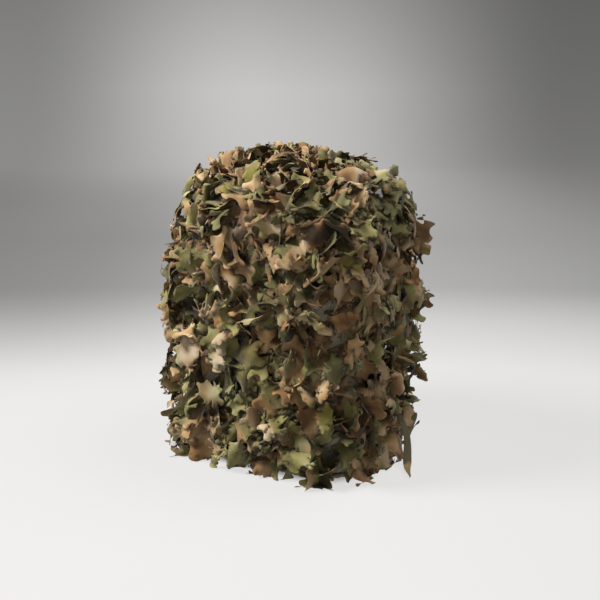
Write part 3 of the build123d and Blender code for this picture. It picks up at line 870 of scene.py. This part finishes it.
def hang_leaf(random, s, q, lift, wander, mound):
    """One leaf sewn to the net at (s, q): its points, triangles and attributes."""
    flat, triangles, rim = PATTERNS[random.integers(len(PATTERNS))]
    length = LEAF_SHORT + (LEAF_LONG - LEAF_SHORT) * random.beta(1.6, 1.8)
    droop = (-random.uniform(0.0, 1.2), random.normal(0.1, 0.7))
    local = bend(flat, length, random, droop)
    root, out, level, up = (a[0] for a in surface([s], [q]))
    heap = clump(s, q)
    heap += STRAY * (random.random() < STRAY_SHARE)
    pile = PILE * float(smooth(0.9, 1.0, out[2])) * float(dome(root[None])[0])
    stand = 0.002 + random.uniform(0, mound) + CLUMP * min(heap, 1.0) ** 2 + pile * random.uniform(0.2, 1.0)
    yaw = random.normal(0, wander)
    start = random.uniform(*lift) * (0.55 + 0.75 * heap)
    roll = random.normal(0, 0.65)
    down = -up * math.cos(yaw) + level * math.sin(yaw)
    forward = down * math.cos(start) + out * math.sin(start)
    face = out * math.cos(start) - down * math.sin(start)
    right = np.cross(forward, face)
    rolled = right * math.cos(roll) + face * math.sin(roll)
    face = face * math.cos(roll) - right * math.sin(roll)
    placed = root + out * stand + local[:, :1] * rolled + local[:, 1:2] * forward + local[:, 2:] * face
    placed = settle(draw_in(placed, heap), heap)
    cut = np.stack([s + flat[:, 0] * length, q * 0.35 + flat[:, 1] * length, np.full(len(flat), q * 2.3)], -1)
    cut += random.normal(0, 0.02, 3)
    # Each leaf's random tone, made darker in the hollows between clumps where shade falls: painted shade.
    tone_and_painted_shade = np.full(len(flat), random.uniform(0.74, 1.30) * (0.72 + 0.34 * min(heap, 1.0)))
    a, b, c = (flat[triangles[:, k]] * length for k in range(3))
    area = np.abs(np.cross(b - a, c - a)).sum() / 2
    return placed, triangles, rim, cut, tone_and_painted_shade, area


def thinned(places, random):
    """Leave out some of the leaves in the hollows."""
    return [(s, q) for s, q in places if random.random() < 0.52 + 1.7 * clump(s, q)]


def leaf_strip(node, seams, random, lift=(0.05, 1.3), wander=0.9, mound=0.012):
    """All the leaves of one strip as one mesh. seams is the list of their (s, q) places."""
    parts = [hang_leaf(random, s, q, lift, wander, mound) for s, q in seams]
    starts = np.cumsum([0] + [len(p[0]) for p in parts])
    points = np.concatenate([p[0] for p in parts])
    faces = np.concatenate([p[1] + start for p, start in zip(parts, starts)])
    fields = {key: np.concatenate([p[k] for p in parts]) for k, key in ((2, "rim"), (3, "cut"), (4, "tone_and_painted_shade"))}
    strip = new_object(f"{node}_leaves", mesh_from(node, points, faces, **fields))
    thicken(strip)
    finish_piece(strip, "leaf_cover", LEAF_CLOTH, "leaf_cloth", node)


WALL_ROWS = 10
FIRST_SEAM = 0.566
ROW_PITCH = 0.061
ROW_RISE = 0.45
SEAM_HIGH = 0.538
SEAM_LOW = 0.050
LEAF_SPACING = 0.0215


def wall_seams(row, random):
    """Places along a wall row, which climbs to the right: two layers deep, three in the lowest row."""
    places = []
    layers = [0.0, 0.5] if row < WALL_ROWS - 1 else [0.0, 0.5, 0.9]
    for layer, drop in enumerate(share * ROW_PITCH for share in layers):
        for s in np.arange(0.006 + 0.5 * layer * LEAF_SPACING, GIRTH - 0.004, LEAF_SPACING):
            s = s + random.uniform(-0.4, 0.4) * LEAF_SPACING
            s = min(max(s, 0.002), GIRTH - 0.002)
            x = plan(s, 0.0)[0]
            q = FIRST_SEAM - row * ROW_PITCH + ROW_RISE * float(x) - drop + random.uniform(-0.006, 0.006)
            if SEAM_LOW - 0.02 <= q <= SEAM_HIGH + 0.01:
                places.append((s, q))
    return places


# Each top strip: its place along the surface, the spacing of its leaves, their lift and their mound.
CROWN_Q = SHOULDER_Z + SHOULDER * math.pi / 2
TOP_STRIPS = {
    "leaf_shoulder_low": (SHOULDER_Z + 0.030, 0.018, (0.1, 1.3), 0.012),
    "leaf_shoulder_high": (SHOULDER_Z + 0.075, 0.018, (0.1, 1.4), 0.014),
    "leaf_crown_outer": (CROWN_Q + 0.030, 0.016, (0.2, 1.5), 0.022),
    "leaf_crown_inner": (CROWN_Q + 0.078, 0.019, (0.3, 1.6), 0.032),
}
TUFT_LEAVES = 60


def make_leaves():
    """The wall rows, the strips on the shoulders and the crown, and the tuft in the middle of the top."""
    random = np.random.default_rng(5)
    for row in range(WALL_ROWS):
        leaf_strip(f"leaf_row_{row + 1}", thinned(wall_seams(row, random), random), random)
    for node, (q, spacing, lift, mound) in TOP_STRIPS.items():
        places = [
            (s + random.uniform(-0.008, 0.008), q + random.uniform(-0.014, 0.014))
            for s in np.arange(0.01, GIRTH - 0.008, spacing)
        ]
        leaf_strip(node, places, random, lift, 1.3, mound)
    places = [
        (GIRTH * random.uniform(0.04, 0.96), CROWN_Q + random.uniform(0.07, 0.142))
        for _ in range(TUFT_LEAVES)
    ]
    leaf_strip("leaf_crown_tuft", places, random, (0.6, 1.9), 2.2, 0.036)


make_leaves()


# --- the net and what is sewn to it -----------------------------------------------------------------
THREAD_TILT = math.atan(ROW_RISE)
TAPE_WIDE = 0.012
TAPE_THICK = 0.0010
NET_STEP = 0.007


def askew(s, q):
    """Coordinates along and across the net's threads, which run askew."""
    c, d = math.cos(THREAD_TILT), math.sin(THREAD_TILT)
    return np.stack([s * c + q * d, q * c - s * d, np.zeros_like(s)], -1)


def net_panel(node, s_range, q_range):
    """One panel of the net: a single layer with shallow folds, pulled in between its seams."""
    columns = np.linspace(*s_range, 2 + int((s_range[1] - s_range[0]) / NET_STEP))
    rows = np.linspace(*q_range, 2 + int((q_range[1] - q_range[0]) / NET_STEP))
    s, q = (a.ravel() for a in np.meshgrid(columns, rows))
    point, out, _, _ = surface(s, q)
    fold = np.sin(41.0 * s + 9.0 * q + 1.3 * np.sin(17.0 * q)) * np.sin(23.0 * q - 11.0 * s)
    slack = 0.0016 + 0.0012 * fold
    faces = grid_faces(len(rows), len(columns))
    mesh = mesh_from(node, point - out * slack[:, None], faces, cut=askew(s, q))
    panel = new_object(f"{node}_cloth", mesh)
    finish_piece(panel, "leaf_cover", NET_CLOTH, "net_cloth", node)
    return panel


def make_net():
    """The two sides, the front and the top, which meet at the corners' middles and at the shoulder."""
    corner = SIDE_RUN + ARC_RUN / 2
    inner = CROWN_Q + HALF - SHOULDER - 0.0005
    walls = (HEM_Z, SHOULDER_Z)
    left = net_panel("cover_net_left", (0.0, corner), walls)
    front = net_panel("cover_net_front", (corner, GIRTH - corner), walls)
    right = net_panel("cover_net_right", (GIRTH - corner, GIRTH), walls)
    top = net_panel("cover_net_top", (0.0, GIRTH), (SHOULDER_Z, inner))


def tape_line(s, q):
    """A tape on the outside of the net along (s, q), with a slight ripple."""
    point, out, _, up = surface(s, q)
    ripple = 0.0011 + 0.0004 * np.sin(190.0 * s)
    return sweep(point + out * ripple[:, None], up, band(TAPE_WIDE, TAPE_THICK))


def make_tapes():
    """The tapes that the leaf rows and the top strips are sewn to, all as one piece."""
    s = np.linspace(0.001, GIRTH - 0.001, 190)
    across = plan(s, 0.0)[0]
    parts = []
    for row in range(WALL_ROWS):
        q = FIRST_SEAM - row * ROW_PITCH + ROW_RISE * across
        keep = (q > SEAM_LOW) & (q < SEAM_HIGH)
        parts.append(tape_line(s[keep], q[keep]))
    parts += [tape_line(s, np.full_like(s, strip[0])) for strip in TOP_STRIPS.values()]
    tapes = join_parts("carrier_tapes_woven", parts)
    finish_piece(tapes, "leaf_cover", TAPE_CLOTH, "tape_cloth", "carrier_tapes")


BINDING_WIDE = 0.012
HEM_MIDDLE = 0.012
HEM_RADIUS = 0.0058
HEM_OFFSET = -0.0008
ELASTIC_RADIUS = 0.0015
LOCK_OUT = 0.164


def make_binding():
    """The folded tape round the edge of the open back."""
    q = np.linspace(HEM_Z, CROWN_Q + HALF - SHOULDER, 110)
    left, out_left, _, _ = surface(np.zeros_like(q), q)
    right, out_right, _, _ = surface(np.full_like(q, GIRTH), q[::-1])
    line = np.concatenate([left - out_left * 0.0008, right[1:] - out_right[1:] * 0.0008])
    line[:, 1] = BACK + BINDING_WIDE / 2
    turn = np.linspace(0, 1, len(line))
    line[:, 2] += 0.0004 * np.sin(turn * 160)
    strip = sweep(line, (0, 1, 0), band(BINDING_WIDE, 0.0034))
    binding = join_parts("cover_back_binding_tape", [strip])
    finish_piece(binding, "leaf_cover", TAPE_CLOTH, "tape_cloth", "cover_back_binding")


def make_hem():
    """The gathered channel along the bottom edge, and the elastic cord in it."""
    s = np.linspace(0.0, GIRTH, 470)
    x, y, _, _ = plan(s, HEM_OFFSET)
    line = np.stack([x, y, np.full_like(x, HEM_MIDDLE)], -1)
    angle = np.linspace(0, 2 * math.pi, 14, endpoint=False)
    gather = 0.90 + 0.10 * np.sin(520.0 * s[:, None] + 1.7 * np.sin(90.0 * s[:, None]) + 2.0 * np.sin(angle))
    section = HEM_RADIUS * gather[..., None] * np.stack([np.cos(angle), np.sin(angle)], -1)
    channel = join_parts("cover_hem_channel_cloth", [sweep(line, (0, 0, 1), section, ends="open")])
    thicken(channel)
    finish_piece(channel, "leaf_cover", TAPE_CLOTH, "tape_cloth", "cover_hem_channel")
    straight = np.linspace(LOCK_OUT, BACK + 0.002, 12)
    tail = np.stack([np.full(12, x[0]), straight, np.full(12, HEM_MIDDLE)], -1)
    run = np.concatenate([tail, line[2:-1]])
    cord = join_parts("hem_elastic_cord", [sweep(run, (0, 0, 1), ring(ELASTIC_RADIUS))])
    finish_piece(cord, "leaf_cover", ELASTIC, "elastic_cord", "hem_elastic")


make_net()
make_tapes()
make_binding()
make_hem()


# --- the rucksack ------------------------------------------------------------------------------------
SOFT_STEP = 0.009
PIPING_RADIUS = 0.0013


def corners_of(node):
    """The lowest and highest corner of a CAD node's box."""
    return (np.array(c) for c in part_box(node))


def soft_form(name, low, high, corner, puff, seed, taper=None):
    """A stuffed form in a box: crowned faces, sides pulled in at the seams, and creases."""
    middle, half = (low + high) / 2, (high - low) / 2
    puff = np.minimum(puff, half * 0.35)
    counts = [max(5, 2 + int(2 * h / SOFT_STEP)) for h in half]
    points, faces = [], []
    for axis in range(3):
        a, b = [k for k in range(3) if k != axis]
        u, v = np.meshgrid(np.linspace(-1, 1, counts[a]), np.linspace(-1, 1, counts[b]))
        for sign in (-1.0, 1.0):
            place = np.empty((u.size, 3))
            place[:, a], place[:, b], place[:, axis] = u.ravel(), v.ravel(), sign
            start = sum(len(p) for p in points)
            points.append(place)
            faces += [tuple(start + k for k in f) for f in grid_faces(counts[b], counts[a])]
    unit = np.concatenate(points)
    core = half - puff
    corner = min(corner, core.min() * 0.98)
    inner = np.clip(unit * core, corner - core, core - corner)
    away = unit * core - inner
    away /= np.maximum(np.linalg.norm(away, axis=1, keepdims=True), 1e-9)
    crown = np.cos(unit * math.pi / 2) ** 0.6
    for axis in range(3):
        a, b = [k for k in range(3) if k != axis]
        flat = np.abs(unit[:, axis]) > 0.999
        inner[flat, axis] += np.sign(unit[flat, axis]) * puff[axis] * crown[flat, a] * crown[flat, b]
    random = np.random.default_rng(seed)
    crease = np.zeros(len(unit))
    for _ in range(5):
        wave = random.normal(0, 60.0, 3)
        crease += np.sin((unit * half) @ wave + random.uniform(0, 6.3)) / 5
    shape = inner + away * corner - away * (0.25 * puff.min() * (0.6 + crease))[:, None]
    if taper is not None:
        shape = taper(shape, half)
    mesh = mesh_from(name, shape + middle, faces)
    work = bmesh.new()
    work.from_mesh(mesh)
    bmesh.ops.remove_doubles(work, verts=work.verts, dist=1e-5)
    bmesh.ops.recalc_face_normals(work, faces=work.faces)
    work.to_mesh(mesh)
    work.free()
    return new_object(name, mesh)


def stuffed(node, body, corner, puff, seed, material, slot, taper=None):
    """A stuffed piece in a CAD node's box."""
    low, high = corners_of(node)
    piece = soft_form(f"{node}_stuffed", low, high, corner, puff, seed, taper)
    finish_piece(piece, body, material, slot, node)


def loop(middle, half, corner, axis):
    """Corded edge round a box's face: middle and half are 3-D, and axis is square to the loop."""
    a, b = [k for k in range(3) if k != axis]
    turn = np.linspace(0, math.pi / 2, 7)
    line = []
    for quarter, (sa, sb) in enumerate([(1, 1), (-1, 1), (-1, -1), (1, -1)]):
        centre = np.array(middle, float)
        centre[a] += sa * (half[a] - corner)
        centre[b] += sb * (half[b] - corner)
        for t in turn + quarter * math.pi / 2:
            point = centre.copy()
            point[a] += corner * math.cos(t)
            point[b] += corner * math.sin(t)
            line.append(point)
    square = np.zeros(3)
    square[axis] = 1.0
    line.append(line[0])
    return sweep(even_line(line, 0.012)[:-1], square, ring(PIPING_RADIUS, 8), ends="joined")


def even_line(line, step):
    """The same line with evenly spaced points."""
    line = np.asarray(line, float)
    run = np.concatenate([[0], np.cumsum(np.linalg.norm(np.diff(line, axis=0), axis=1))])
    at = np.linspace(0, run[-1], 2 + int(run[-1] / step))
    return np.stack([np.interp(at, run, line[:, k]) for k in range(3)], -1)


def corded_edges():
    """Piping round the panels of the bag, the lid and the pockets."""
    parts = []
    for node, axis, shrink, corner in (
        ("main_bag", 1, 0.0075, 0.026),
        ("lid_pocket", 2, 0.0095, 0.030),
        ("front_pocket", 1, 0.0075, 0.020),
        ("side_pocket_left", 0, 0.0075, 0.016),
        ("side_pocket_right", 0, 0.0075, 0.016),
    ):
        low, high = corners_of(node)
        middle, half = (low + high) / 2, (high - low) / 2 - shrink
        for side in (-1, 1):
            shifted = middle.copy()
            shifted[axis] += side * (half[axis] - corner * 0.55)
            parts.append(loop(shifted, half + 0.0005, corner, axis))
    edges = join_parts("pack_edge_piping", parts)
    finish_piece(edges, "rucksack", PIPING, "pack_cloth")


# Each stuffed piece: its corner radius, puff, cloth, slot and fill.
BAGS = {
    "packed_load": (0.030, 0.010, LINER_CLOTH, "liner_cloth", 0.8),
    "main_bag": (0.028, 0.007, PACK_CLOTH, "pack_cloth", 0.9),
    "base_panel": (0.003, 0.0008, BASE_CLOTH, "base_cloth", 0.2),
    "lid_pocket": (0.032, 0.009, PACK_CLOTH, "pack_cloth", 0.7),
    "front_pocket": (0.020, 0.006, PACK_CLOTH, "pack_cloth", 0.6),
    "side_pocket_left": (0.016, 0.006, PACK_CLOTH, "pack_cloth", 0.6),
    "side_pocket_right": (0.016, 0.006, PACK_CLOTH, "pack_cloth", 0.6),
    "back_panel": (0.0018, 0.0006, PAD_CLOTH, "pad_cloth", 0.3),
    "lumbar_pad": (0.006, 0.004, PAD_CLOTH, "pad_cloth", 0.7),
}


def make_bags():
    for seed, (node, (corner, puff, cloth, slot, fill)) in enumerate(BAGS.items(), 1):
        stuffed(node, "rucksack", corner, puff, seed, cloth, slot)
    corded_edges()


PAD_GAP = 0.018
PAD_SEAM = 0.0008


def make_back_pads():
    """Two upright pads, each sewn down across its middle in three places."""
    low, high = corners_of("back_pads")
    parts = []
    for side in (-1, 1):
        inner, outer = sorted((side * PAD_GAP, side * high[0]))
        cells = np.linspace(low[2], high[2], 4)
        for k, (bottom, top) in enumerate(zip(cells, cells[1:])):
            cell_low = np.array([inner, low[1], bottom + PAD_SEAM])
            cell_high = np.array([outer, high[1], top - PAD_SEAM])
            parts.append(soft_form(f"back_pad_{k}_{side + 1}", cell_low, cell_high, 0.006, 0.004, 20 + k))
    whole = merge("back_pads_quilted", parts)
    finish_piece(whole, "rucksack", PAD_CLOTH, "pad_cloth", "back_pads")


def merge(name, objects):
    """One object from several plain meshes."""
    work = bmesh.new()
    for obj in objects:
        work.from_mesh(obj.data)
        bpy.data.objects.remove(obj)
    mesh = bpy.data.meshes.new(name)
    work.to_mesh(mesh)
    work.free()
    return new_object(name, mesh)


STRAP_ARC = [(0.110, 0.516), (0.2033, 0.372), (0.134, 0.212)]
STRAP_X = 0.062
STRAP_WIDE = 0.058
STRAP_THICK = 0.012
PANEL_BACK = 0.1135
STRAP_POINTS = 80
LADDER_LONG = 0.020
WEB = 0.0016
STERNUM_Z = 0.430
STERNUM_X = 0.015
STERNUM_WIDE = 0.020
STRAP_WEB_WIDE = 0.025
LOWER_END_Z = 0.166


def circle_of(a, b, c):
    """Centre and radius of the circle through three points of a plane."""
    (ax, ay), (bx, by), (cx, cy) = a, b, c
    d = 2 * (ax * (by - cy) + bx * (cy - ay) + cx * (ay - by))
    sa, sb, sc = ax * ax + ay * ay, bx * bx + by * by, cx * cx + cy * cy
    x = (sa * (by - cy) + sb * (cy - ay) + sc * (ay - by)) / d
    y = (sa * (cx - bx) + sb * (ax - cx) + sc * (bx - ax)) / d
    return x, y, math.hypot(ax - x, ay - y)


ARC_Y, ARC_Z, ARC_RADIUS = circle_of(*STRAP_ARC)


def strap_arc():
    """(y, z) points down the middle of a shoulder strap, from the bag to the ladder lock."""
    start = math.atan2(STRAP_ARC[0][1] - ARC_Z, STRAP_ARC[0][0] - ARC_Y)
    end = math.atan2(STRAP_ARC[2][1] - ARC_Z, STRAP_ARC[2][0] - ARC_Y)
    turn = np.linspace(start, end, STRAP_POINTS)
    points = np.stack([ARC_Y + ARC_RADIUS * np.cos(turn), ARC_Z + ARC_RADIUS * np.sin(turn)], -1)
    return points[points[:, 0] >= PANEL_BACK + 0.001]


def straight_line(ends, count):
    """Evenly spaced points from one end to the other."""
    return np.linspace(*np.array(ends, float), count)


def make_shoulder_straps():
    """Padded straps, stitched across their width in four places and narrower at both ends."""
    arc = strap_arc()
    for node, side in (("shoulder_strap_left", -1), ("shoulder_strap_right", 1)):
        line = np.column_stack([np.full(len(arc), side * STRAP_X), arc])
        turn = np.linspace(0, 1, len(arc))
        ends = np.clip(np.minimum(turn, 1 - turn) / 0.05, 0.45, 1.0)
        channel = 1 - 0.10 * np.abs(np.sin(turn * math.pi * 4)) ** 8
        scale = np.stack([0.5 + 0.5 * ends, ends * channel], -1)
        section = band(STRAP_WIDE, STRAP_THICK, 24) * scale[:, None]
        strap = join_parts(f"{node}_padded", [sweep(line, (1, 0, 0), section)])
        finish_piece(strap, "rucksack", PAD_CLOTH, "pad_cloth", node)


def make_sternum_straps():
    y = ARC_Y + math.sqrt(ARC_RADIUS**2 - (STERNUM_Z - ARC_Z) ** 2)
    parts = []
    for side in (-1, 1):
        inner = (side * STERNUM_X, y, STERNUM_Z)
        outer = (side * (STRAP_X - STRAP_WIDE / 2), y, STERNUM_Z)
        parts.append(sweep(straight_line((inner, outer), 8), (0, 0, 1), band(STERNUM_WIDE, WEB)))
    webbing("sternum_straps", "rucksack", parts)


def make_lower_straps():
    """The straps from the ladder locks down to the back panel."""
    before, end = strap_arc()[-2:]
    way = (end - before) / np.linalg.norm(end - before)
    top = end + way * LADDER_LONG
    parts = []
    for side in (-1, 1):
        ends = ((side * STRAP_X, *top), (side * STRAP_X, PANEL_BACK + 0.0012, LOWER_END_Z))
        parts.append(sweep(straight_line(ends, 12), (1, 0, 0), band(STRAP_WEB_WIDE, WEB)))
    webbing("lower_straps", "rucksack", parts)


def webbing(node, body, parts):
    """A piece of webbing that stands for the CAD node of the same name."""
    piece = join_parts(f"{node}_webbing", parts)
    finish_piece(piece, body, WEBBING, "webbing", node)


SIDE_STRAP_HEIGHTS = (0.350, 0.420)
SIDE_STRAP_HALF = 0.088
SIDE_STRAP_X = 0.1608
SIDE_STRAP_BOW = 0.0035
LID_STRAP_X = 0.070
LID_STRAP_Y = -0.1058
LID_STRAP_ENDS = (0.360, 0.503)
HAUL_RADIUS = 0.02675
HAUL_Y = 0.1255
HAUL_ENDS = (0.540, 0.533)
HAUL_MIDDLE_Z = 0.526
HAUL_WIDE = 0.022
HAUL_THICK = 0.0025
HIP_WEB_ENDS = (0.044, 0.064)
HIP_WEB_Y = 0.138
HIP_WEB_Z = 0.110
HIP_WEB_WIDE = 0.038


def make_compression_straps():
    """Two straps round each side of the bag, and two that hold the lid down in front."""
    parts = []
    section = band(STRAP_WEB_WIDE, WEB)
    for side in (-1, 1):
        for z in SIDE_STRAP_HEIGHTS:
            y = np.linspace(-SIDE_STRAP_HALF, SIDE_STRAP_HALF, 24)
            x = side * (SIDE_STRAP_X - SIDE_STRAP_BOW * (y / SIDE_STRAP_HALF) ** 2)
            parts.append(sweep(np.column_stack([x, y, np.full_like(y, z)]), (0, 0, 1), section))
        ends = [(side * LID_STRAP_X, LID_STRAP_Y, z) for z in LID_STRAP_ENDS]
        parts.append(sweep(straight_line(ends, 20), (1, 0, 0), section))
    webbing("compression_straps", "rucksack", parts)


def make_haul_loop():
    turn = np.linspace(0, math.pi, 28)
    x = HAUL_RADIUS * np.concatenate([[1, 1], np.cos(turn), [-1, -1]])
    z = np.concatenate([HAUL_ENDS, HAUL_MIDDLE_Z - HAUL_RADIUS * np.sin(turn), HAUL_ENDS[::-1]])
    line = np.column_stack([x, np.full_like(x, HAUL_Y), z])
    webbing("haul_loop", "hand_loop", [sweep(line, (0, 1, 0), band(HAUL_WIDE, HAUL_THICK))])


def make_hip_webbing():
    for node, body, side in (("hip_webbing_left", "left_wing", -1), ("hip_webbing_right", "right_wing", 1)):
        ends = [(side * x, HIP_WEB_Y, HIP_WEB_Z) for x in HIP_WEB_ENDS]
        webbing(node, body, [sweep(straight_line(ends, 8), (0, 0, 1), band(HIP_WEB_WIDE, WEB))])


WING_TAPER = 0.4375


def make_wings():
    """The padded halves of the hip belt, narrower towards the buckle."""
    for node, body, side in (("hip_wing_left", "left_wing", -1), ("hip_wing_right", "right_wing", 1)):
        def narrow(shape, half, side=side):
            to_tip = np.clip(0.5 - side * shape[:, 0] / (2 * half[0]), 0, 1)
            shape = shape.copy()
            shape[:, 2] *= 1 - WING_TAPER * to_tip
            return shape

        stuffed(node, body, 0.007, 0.003, 11 + side, PAD_CLOTH, "pad_cloth", taper=narrow)


GUSSET_X = 0.1482
GUSSET_Y = 0.1215
GUSSET_Z = 0.066
GUSSET_HIGH = 0.088
GUSSET_WIDE = 0.0185
GUSSET_THICK = 0.0022
GUSSET_BULGE = 0.0012


def make_gussets():
    """The strips of pad cloth that the hip wings fold on, sewn to the edges of the back panel."""
    parts = []
    share = np.linspace(0, 1, 12)
    for side in (-1, 1):
        x = side * (GUSSET_X + GUSSET_BULGE * np.sin(math.pi * share))
        line = np.column_stack([x, np.full_like(x, GUSSET_Y), GUSSET_Z + GUSSET_HIGH * share])
        parts.append(sweep(line, (0, 1, 0), band(GUSSET_WIDE, GUSSET_THICK)))
    gussets = join_parts("hip_wing_gussets", parts)
    finish_piece(gussets, "rucksack", PAD_CLOTH, "pad_cloth")


ZIP_MARGIN = 0.001
TOOTH_STEP = 0.0018
TOOTH_HALF = 0.0016
TOOTH_SHIFT = 0.0004


def make_zip():
    """Two rows of small teeth on a woven tape."""
    low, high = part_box("pocket_zip")
    z, y = (low.z + high.z) / 2, (low.y + high.y) / 2
    ends = (low.x + ZIP_MARGIN, high.x - ZIP_MARGIN)
    tape = straight_line([(x, y + 0.0004, z) for x in ends], 60)
    parts = [sweep(tape, (0, 0, 1), band(high.z - low.z, 0.0006))]
    for tooth, x in enumerate(np.arange(*ends, TOOTH_STEP)):
        middle = z + (TOOTH_SHIFT if tooth % 2 else -TOOTH_SHIFT)
        line = [(x, y - 0.0004 + 0.0002 * abs(way), middle + way * TOOTH_HALF) for way in (-1, 0, 1)]
        parts.append(sweep(line, (1, 0, 0), ring(0.0005, 6)))
    zipper = join_parts("pocket_zip_teeth", parts)
    finish_piece(zipper, "rucksack", ZIP_COIL, "zip_coil", "pocket_zip")


SPRING_WIRE = 0.00035
SPRING_TURNS = 3


def make_spring():
    """A conical spring in the cord lock, its coils narrowing towards the top."""
    low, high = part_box("cord_lock_spring")
    middle = (low + high) / 2
    turn = np.linspace(0, 1, 90)
    reach = (high.x - low.x) / 2 - SPRING_WIRE
    radius = reach * (1 - 0.55 * turn)
    angle = turn * SPRING_TURNS * 2 * math.pi
    height = low.z + SPRING_WIRE / 2 + (high.z - low.z - SPRING_WIRE) * turn
    line = np.column_stack([middle.x + radius * np.cos(angle), middle.y + radius * np.sin(angle), height])
    spring = join_parts("cord_lock_spring_coil", [sweep(line, (0, 0, 1), ring(SPRING_WIRE / 2, 8))])
    finish_piece(spring, "leaf_cover", STEEL, "spring_steel", "cord_lock_spring")
    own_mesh(spring)


HARD_NODES = {
    "strap_buckles": BUCKLES,
    "strap_adjusters": BUCKLES,
    "sternum_buckle": BUCKLES,
    "hip_buckle_socket": BUCKLES,
    "hip_buckle_plug": BUCKLES,
    "cord_lock_body": LOCK_PLASTIC,
    "cord_lock_plunger": LOCK_PLASTIC,
    "zip_slider": ZIP_METAL,
    "frame_sheet": FRAME_PLASTIC,
    "frame_stays": ALLOY,
}


def dress_hard_nodes():
    """Give the plastic and metal parts of the CAD model their materials."""
    for node, material in HARD_NODES.items():
        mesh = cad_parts[node].data
        mesh.materials.clear()
        mesh.materials.append(material)


make_bags()
make_back_pads()
make_shoulder_straps()
make_sternum_straps()
make_lower_straps()
make_compression_straps()
make_haul_loop()
make_hip_webbing()
make_wings()
make_gussets()
make_zip()
make_spring()
dress_hard_nodes()


# --- floor and backdrop -----------------------------------------------------------------------------
BACKDROP_LIT = 0.10
BACKDROP_GLOW = 0.82
WALL_LEAN = 0.40
SHADE_REACH = (HALF + 0.004, (BACK - FRONT) / 2 + 0.004)
SHADE_MIDDLE = (BACK + FRONT) / 2
# Brightness along the sweep, from the front of the floor to the top of the wall.
WALL_MIDDLE = [
    (0.00, 0.88),
    (0.31, 0.81),
    (0.36, 0.68),
    (0.41, 0.47),
    (0.50, 0.46),
    (0.68, 0.70),
    (0.78, 0.70),
    (0.88, 0.32),
    (1.00, 0.20),
]
WALL_EDGE = [
    (0.00, 0.88),
    (0.30, 0.75),
    (0.345, 0.57),
    (0.40, 0.33),
    (0.50, 0.34),
    (0.70, 0.34),
    (0.80, 0.26),
    (0.90, 0.18),
    (1.00, 0.16),
]
SHADE_TONE = (0.045, 0.043, 0.040)
WALL_AWAY = 3.6
WALL_CURVE = 0.5


def backdrop_material():
    """A painted studio sweep: bright floor, grey wall with a glow behind the object, darker to the
    right, and shade on the floor under the cover.
    """
    shade = Shader("studio_backdrop", roughness=0.95)
    shade.surface.inputs["Specular IOR Level"].default_value = 0.0
    run = shade.field("run").outputs["Fac"]
    side = shade.field("side").outputs["Fac"]
    along = shade.maths("DIVIDE", shade.maths("ADD", run, 2.0), 8.0)
    middle = shade.ramp(along, [(at, (v,) * 3) for at, v in WALL_MIDDLE])
    edge = shade.ramp(along, [(at, (v,) * 3) for at, v in WALL_EDGE])
    spread = shade.step(shade.maths("ABSOLUTE", side), 0.15, 1.5)
    tone_and_painted_shade = shade.mix(spread, middle, edge)
    shift = shade.step(side, -1.0, 1.4)
    lean = shade.step(run, 1.0, 4.2)
    right = shade.maths("MULTIPLY", shade.maths("MULTIPLY", shift, lean), WALL_LEAN)
    tone_and_painted_shade = shade.mix(right, tone_and_painted_shade, (0.02, 0.02, 0.02))
    low_left = shade.maths("MULTIPLY", shade.step(side, 0.1, -0.8), shade.step(run, 0.2, 1.1))
    low_left = shade.maths("MULTIPLY", low_left, shade.step(run, 4.6, 2.6))
    tone_and_painted_shade = shade.mix(shade.maths("MULTIPLY", low_left, 0.34), tone_and_painted_shade, (0.05, 0.05, 0.05))
    tone_and_painted_shade = shade.mix(1.0, tone_and_painted_shade, (1.0, 0.99, 0.975), "MULTIPLY")
    x, y, _ = shade.axes(shade.node("ShaderNodeNewGeometry").outputs["Position"])
    across = shade.maths("POWER", shade.maths("DIVIDE", x, SHADE_REACH[0]), 4.0)
    deep = shade.maths("DIVIDE", shade.maths("SUBTRACT", y, SHADE_MIDDLE), SHADE_REACH[1])
    under = shade.step(shade.maths("ADD", across, shade.maths("POWER", deep, 4.0)), 1.4, 0.3)
    tone_and_painted_shade = shade.mix(under, tone_and_painted_shade, SHADE_TONE)
    shade.colour(shade.mix(1.0, tone_and_painted_shade, (BACKDROP_LIT,) * 3, "MULTIPLY"))
    shade.set(shade.surface.inputs["Emission Color"], tone_and_painted_shade)
    shade.surface.inputs["Emission Strength"].default_value = BACKDROP_GLOW
    return shade.material


def make_backdrop():
    """A pale floor that curves up into a grey wall, square to the camera."""
    profile = [(away, 0.0) for away in np.linspace(-4.0, WALL_AWAY, 40)]
    for turn in np.linspace(0.12, math.pi / 2, 12):
        profile.append((WALL_AWAY + WALL_CURVE * math.sin(turn), WALL_CURVE * (1 - math.cos(turn))))
    profile += [(WALL_AWAY + WALL_CURVE, z) for z in np.linspace(0.7, 5.0, 24)]
    sides = np.linspace(-6.0, 6.0, 41)
    points, run, side = [], [], []
    travelled = profile[0][0]
    for k, (away, z) in enumerate(profile):
        travelled += math.dist(profile[k], profile[k - 1]) if k else 0.0
        for across in sides:
            x = across * math.cos(CAMERA_AZIMUTH) - away * math.sin(CAMERA_AZIMUTH)
            y = across * math.sin(CAMERA_AZIMUTH) + away * math.cos(CAMERA_AZIMUTH)
            points.append((x, y, z))
            run.append(travelled)
            side.append(across)
    mesh = mesh_from("backdrop", points, grid_faces(len(profile), len(sides)), run=run, side=side)
    wall = new_object("backdrop", mesh)
    wall.data.materials.append(backdrop_material())


make_backdrop()
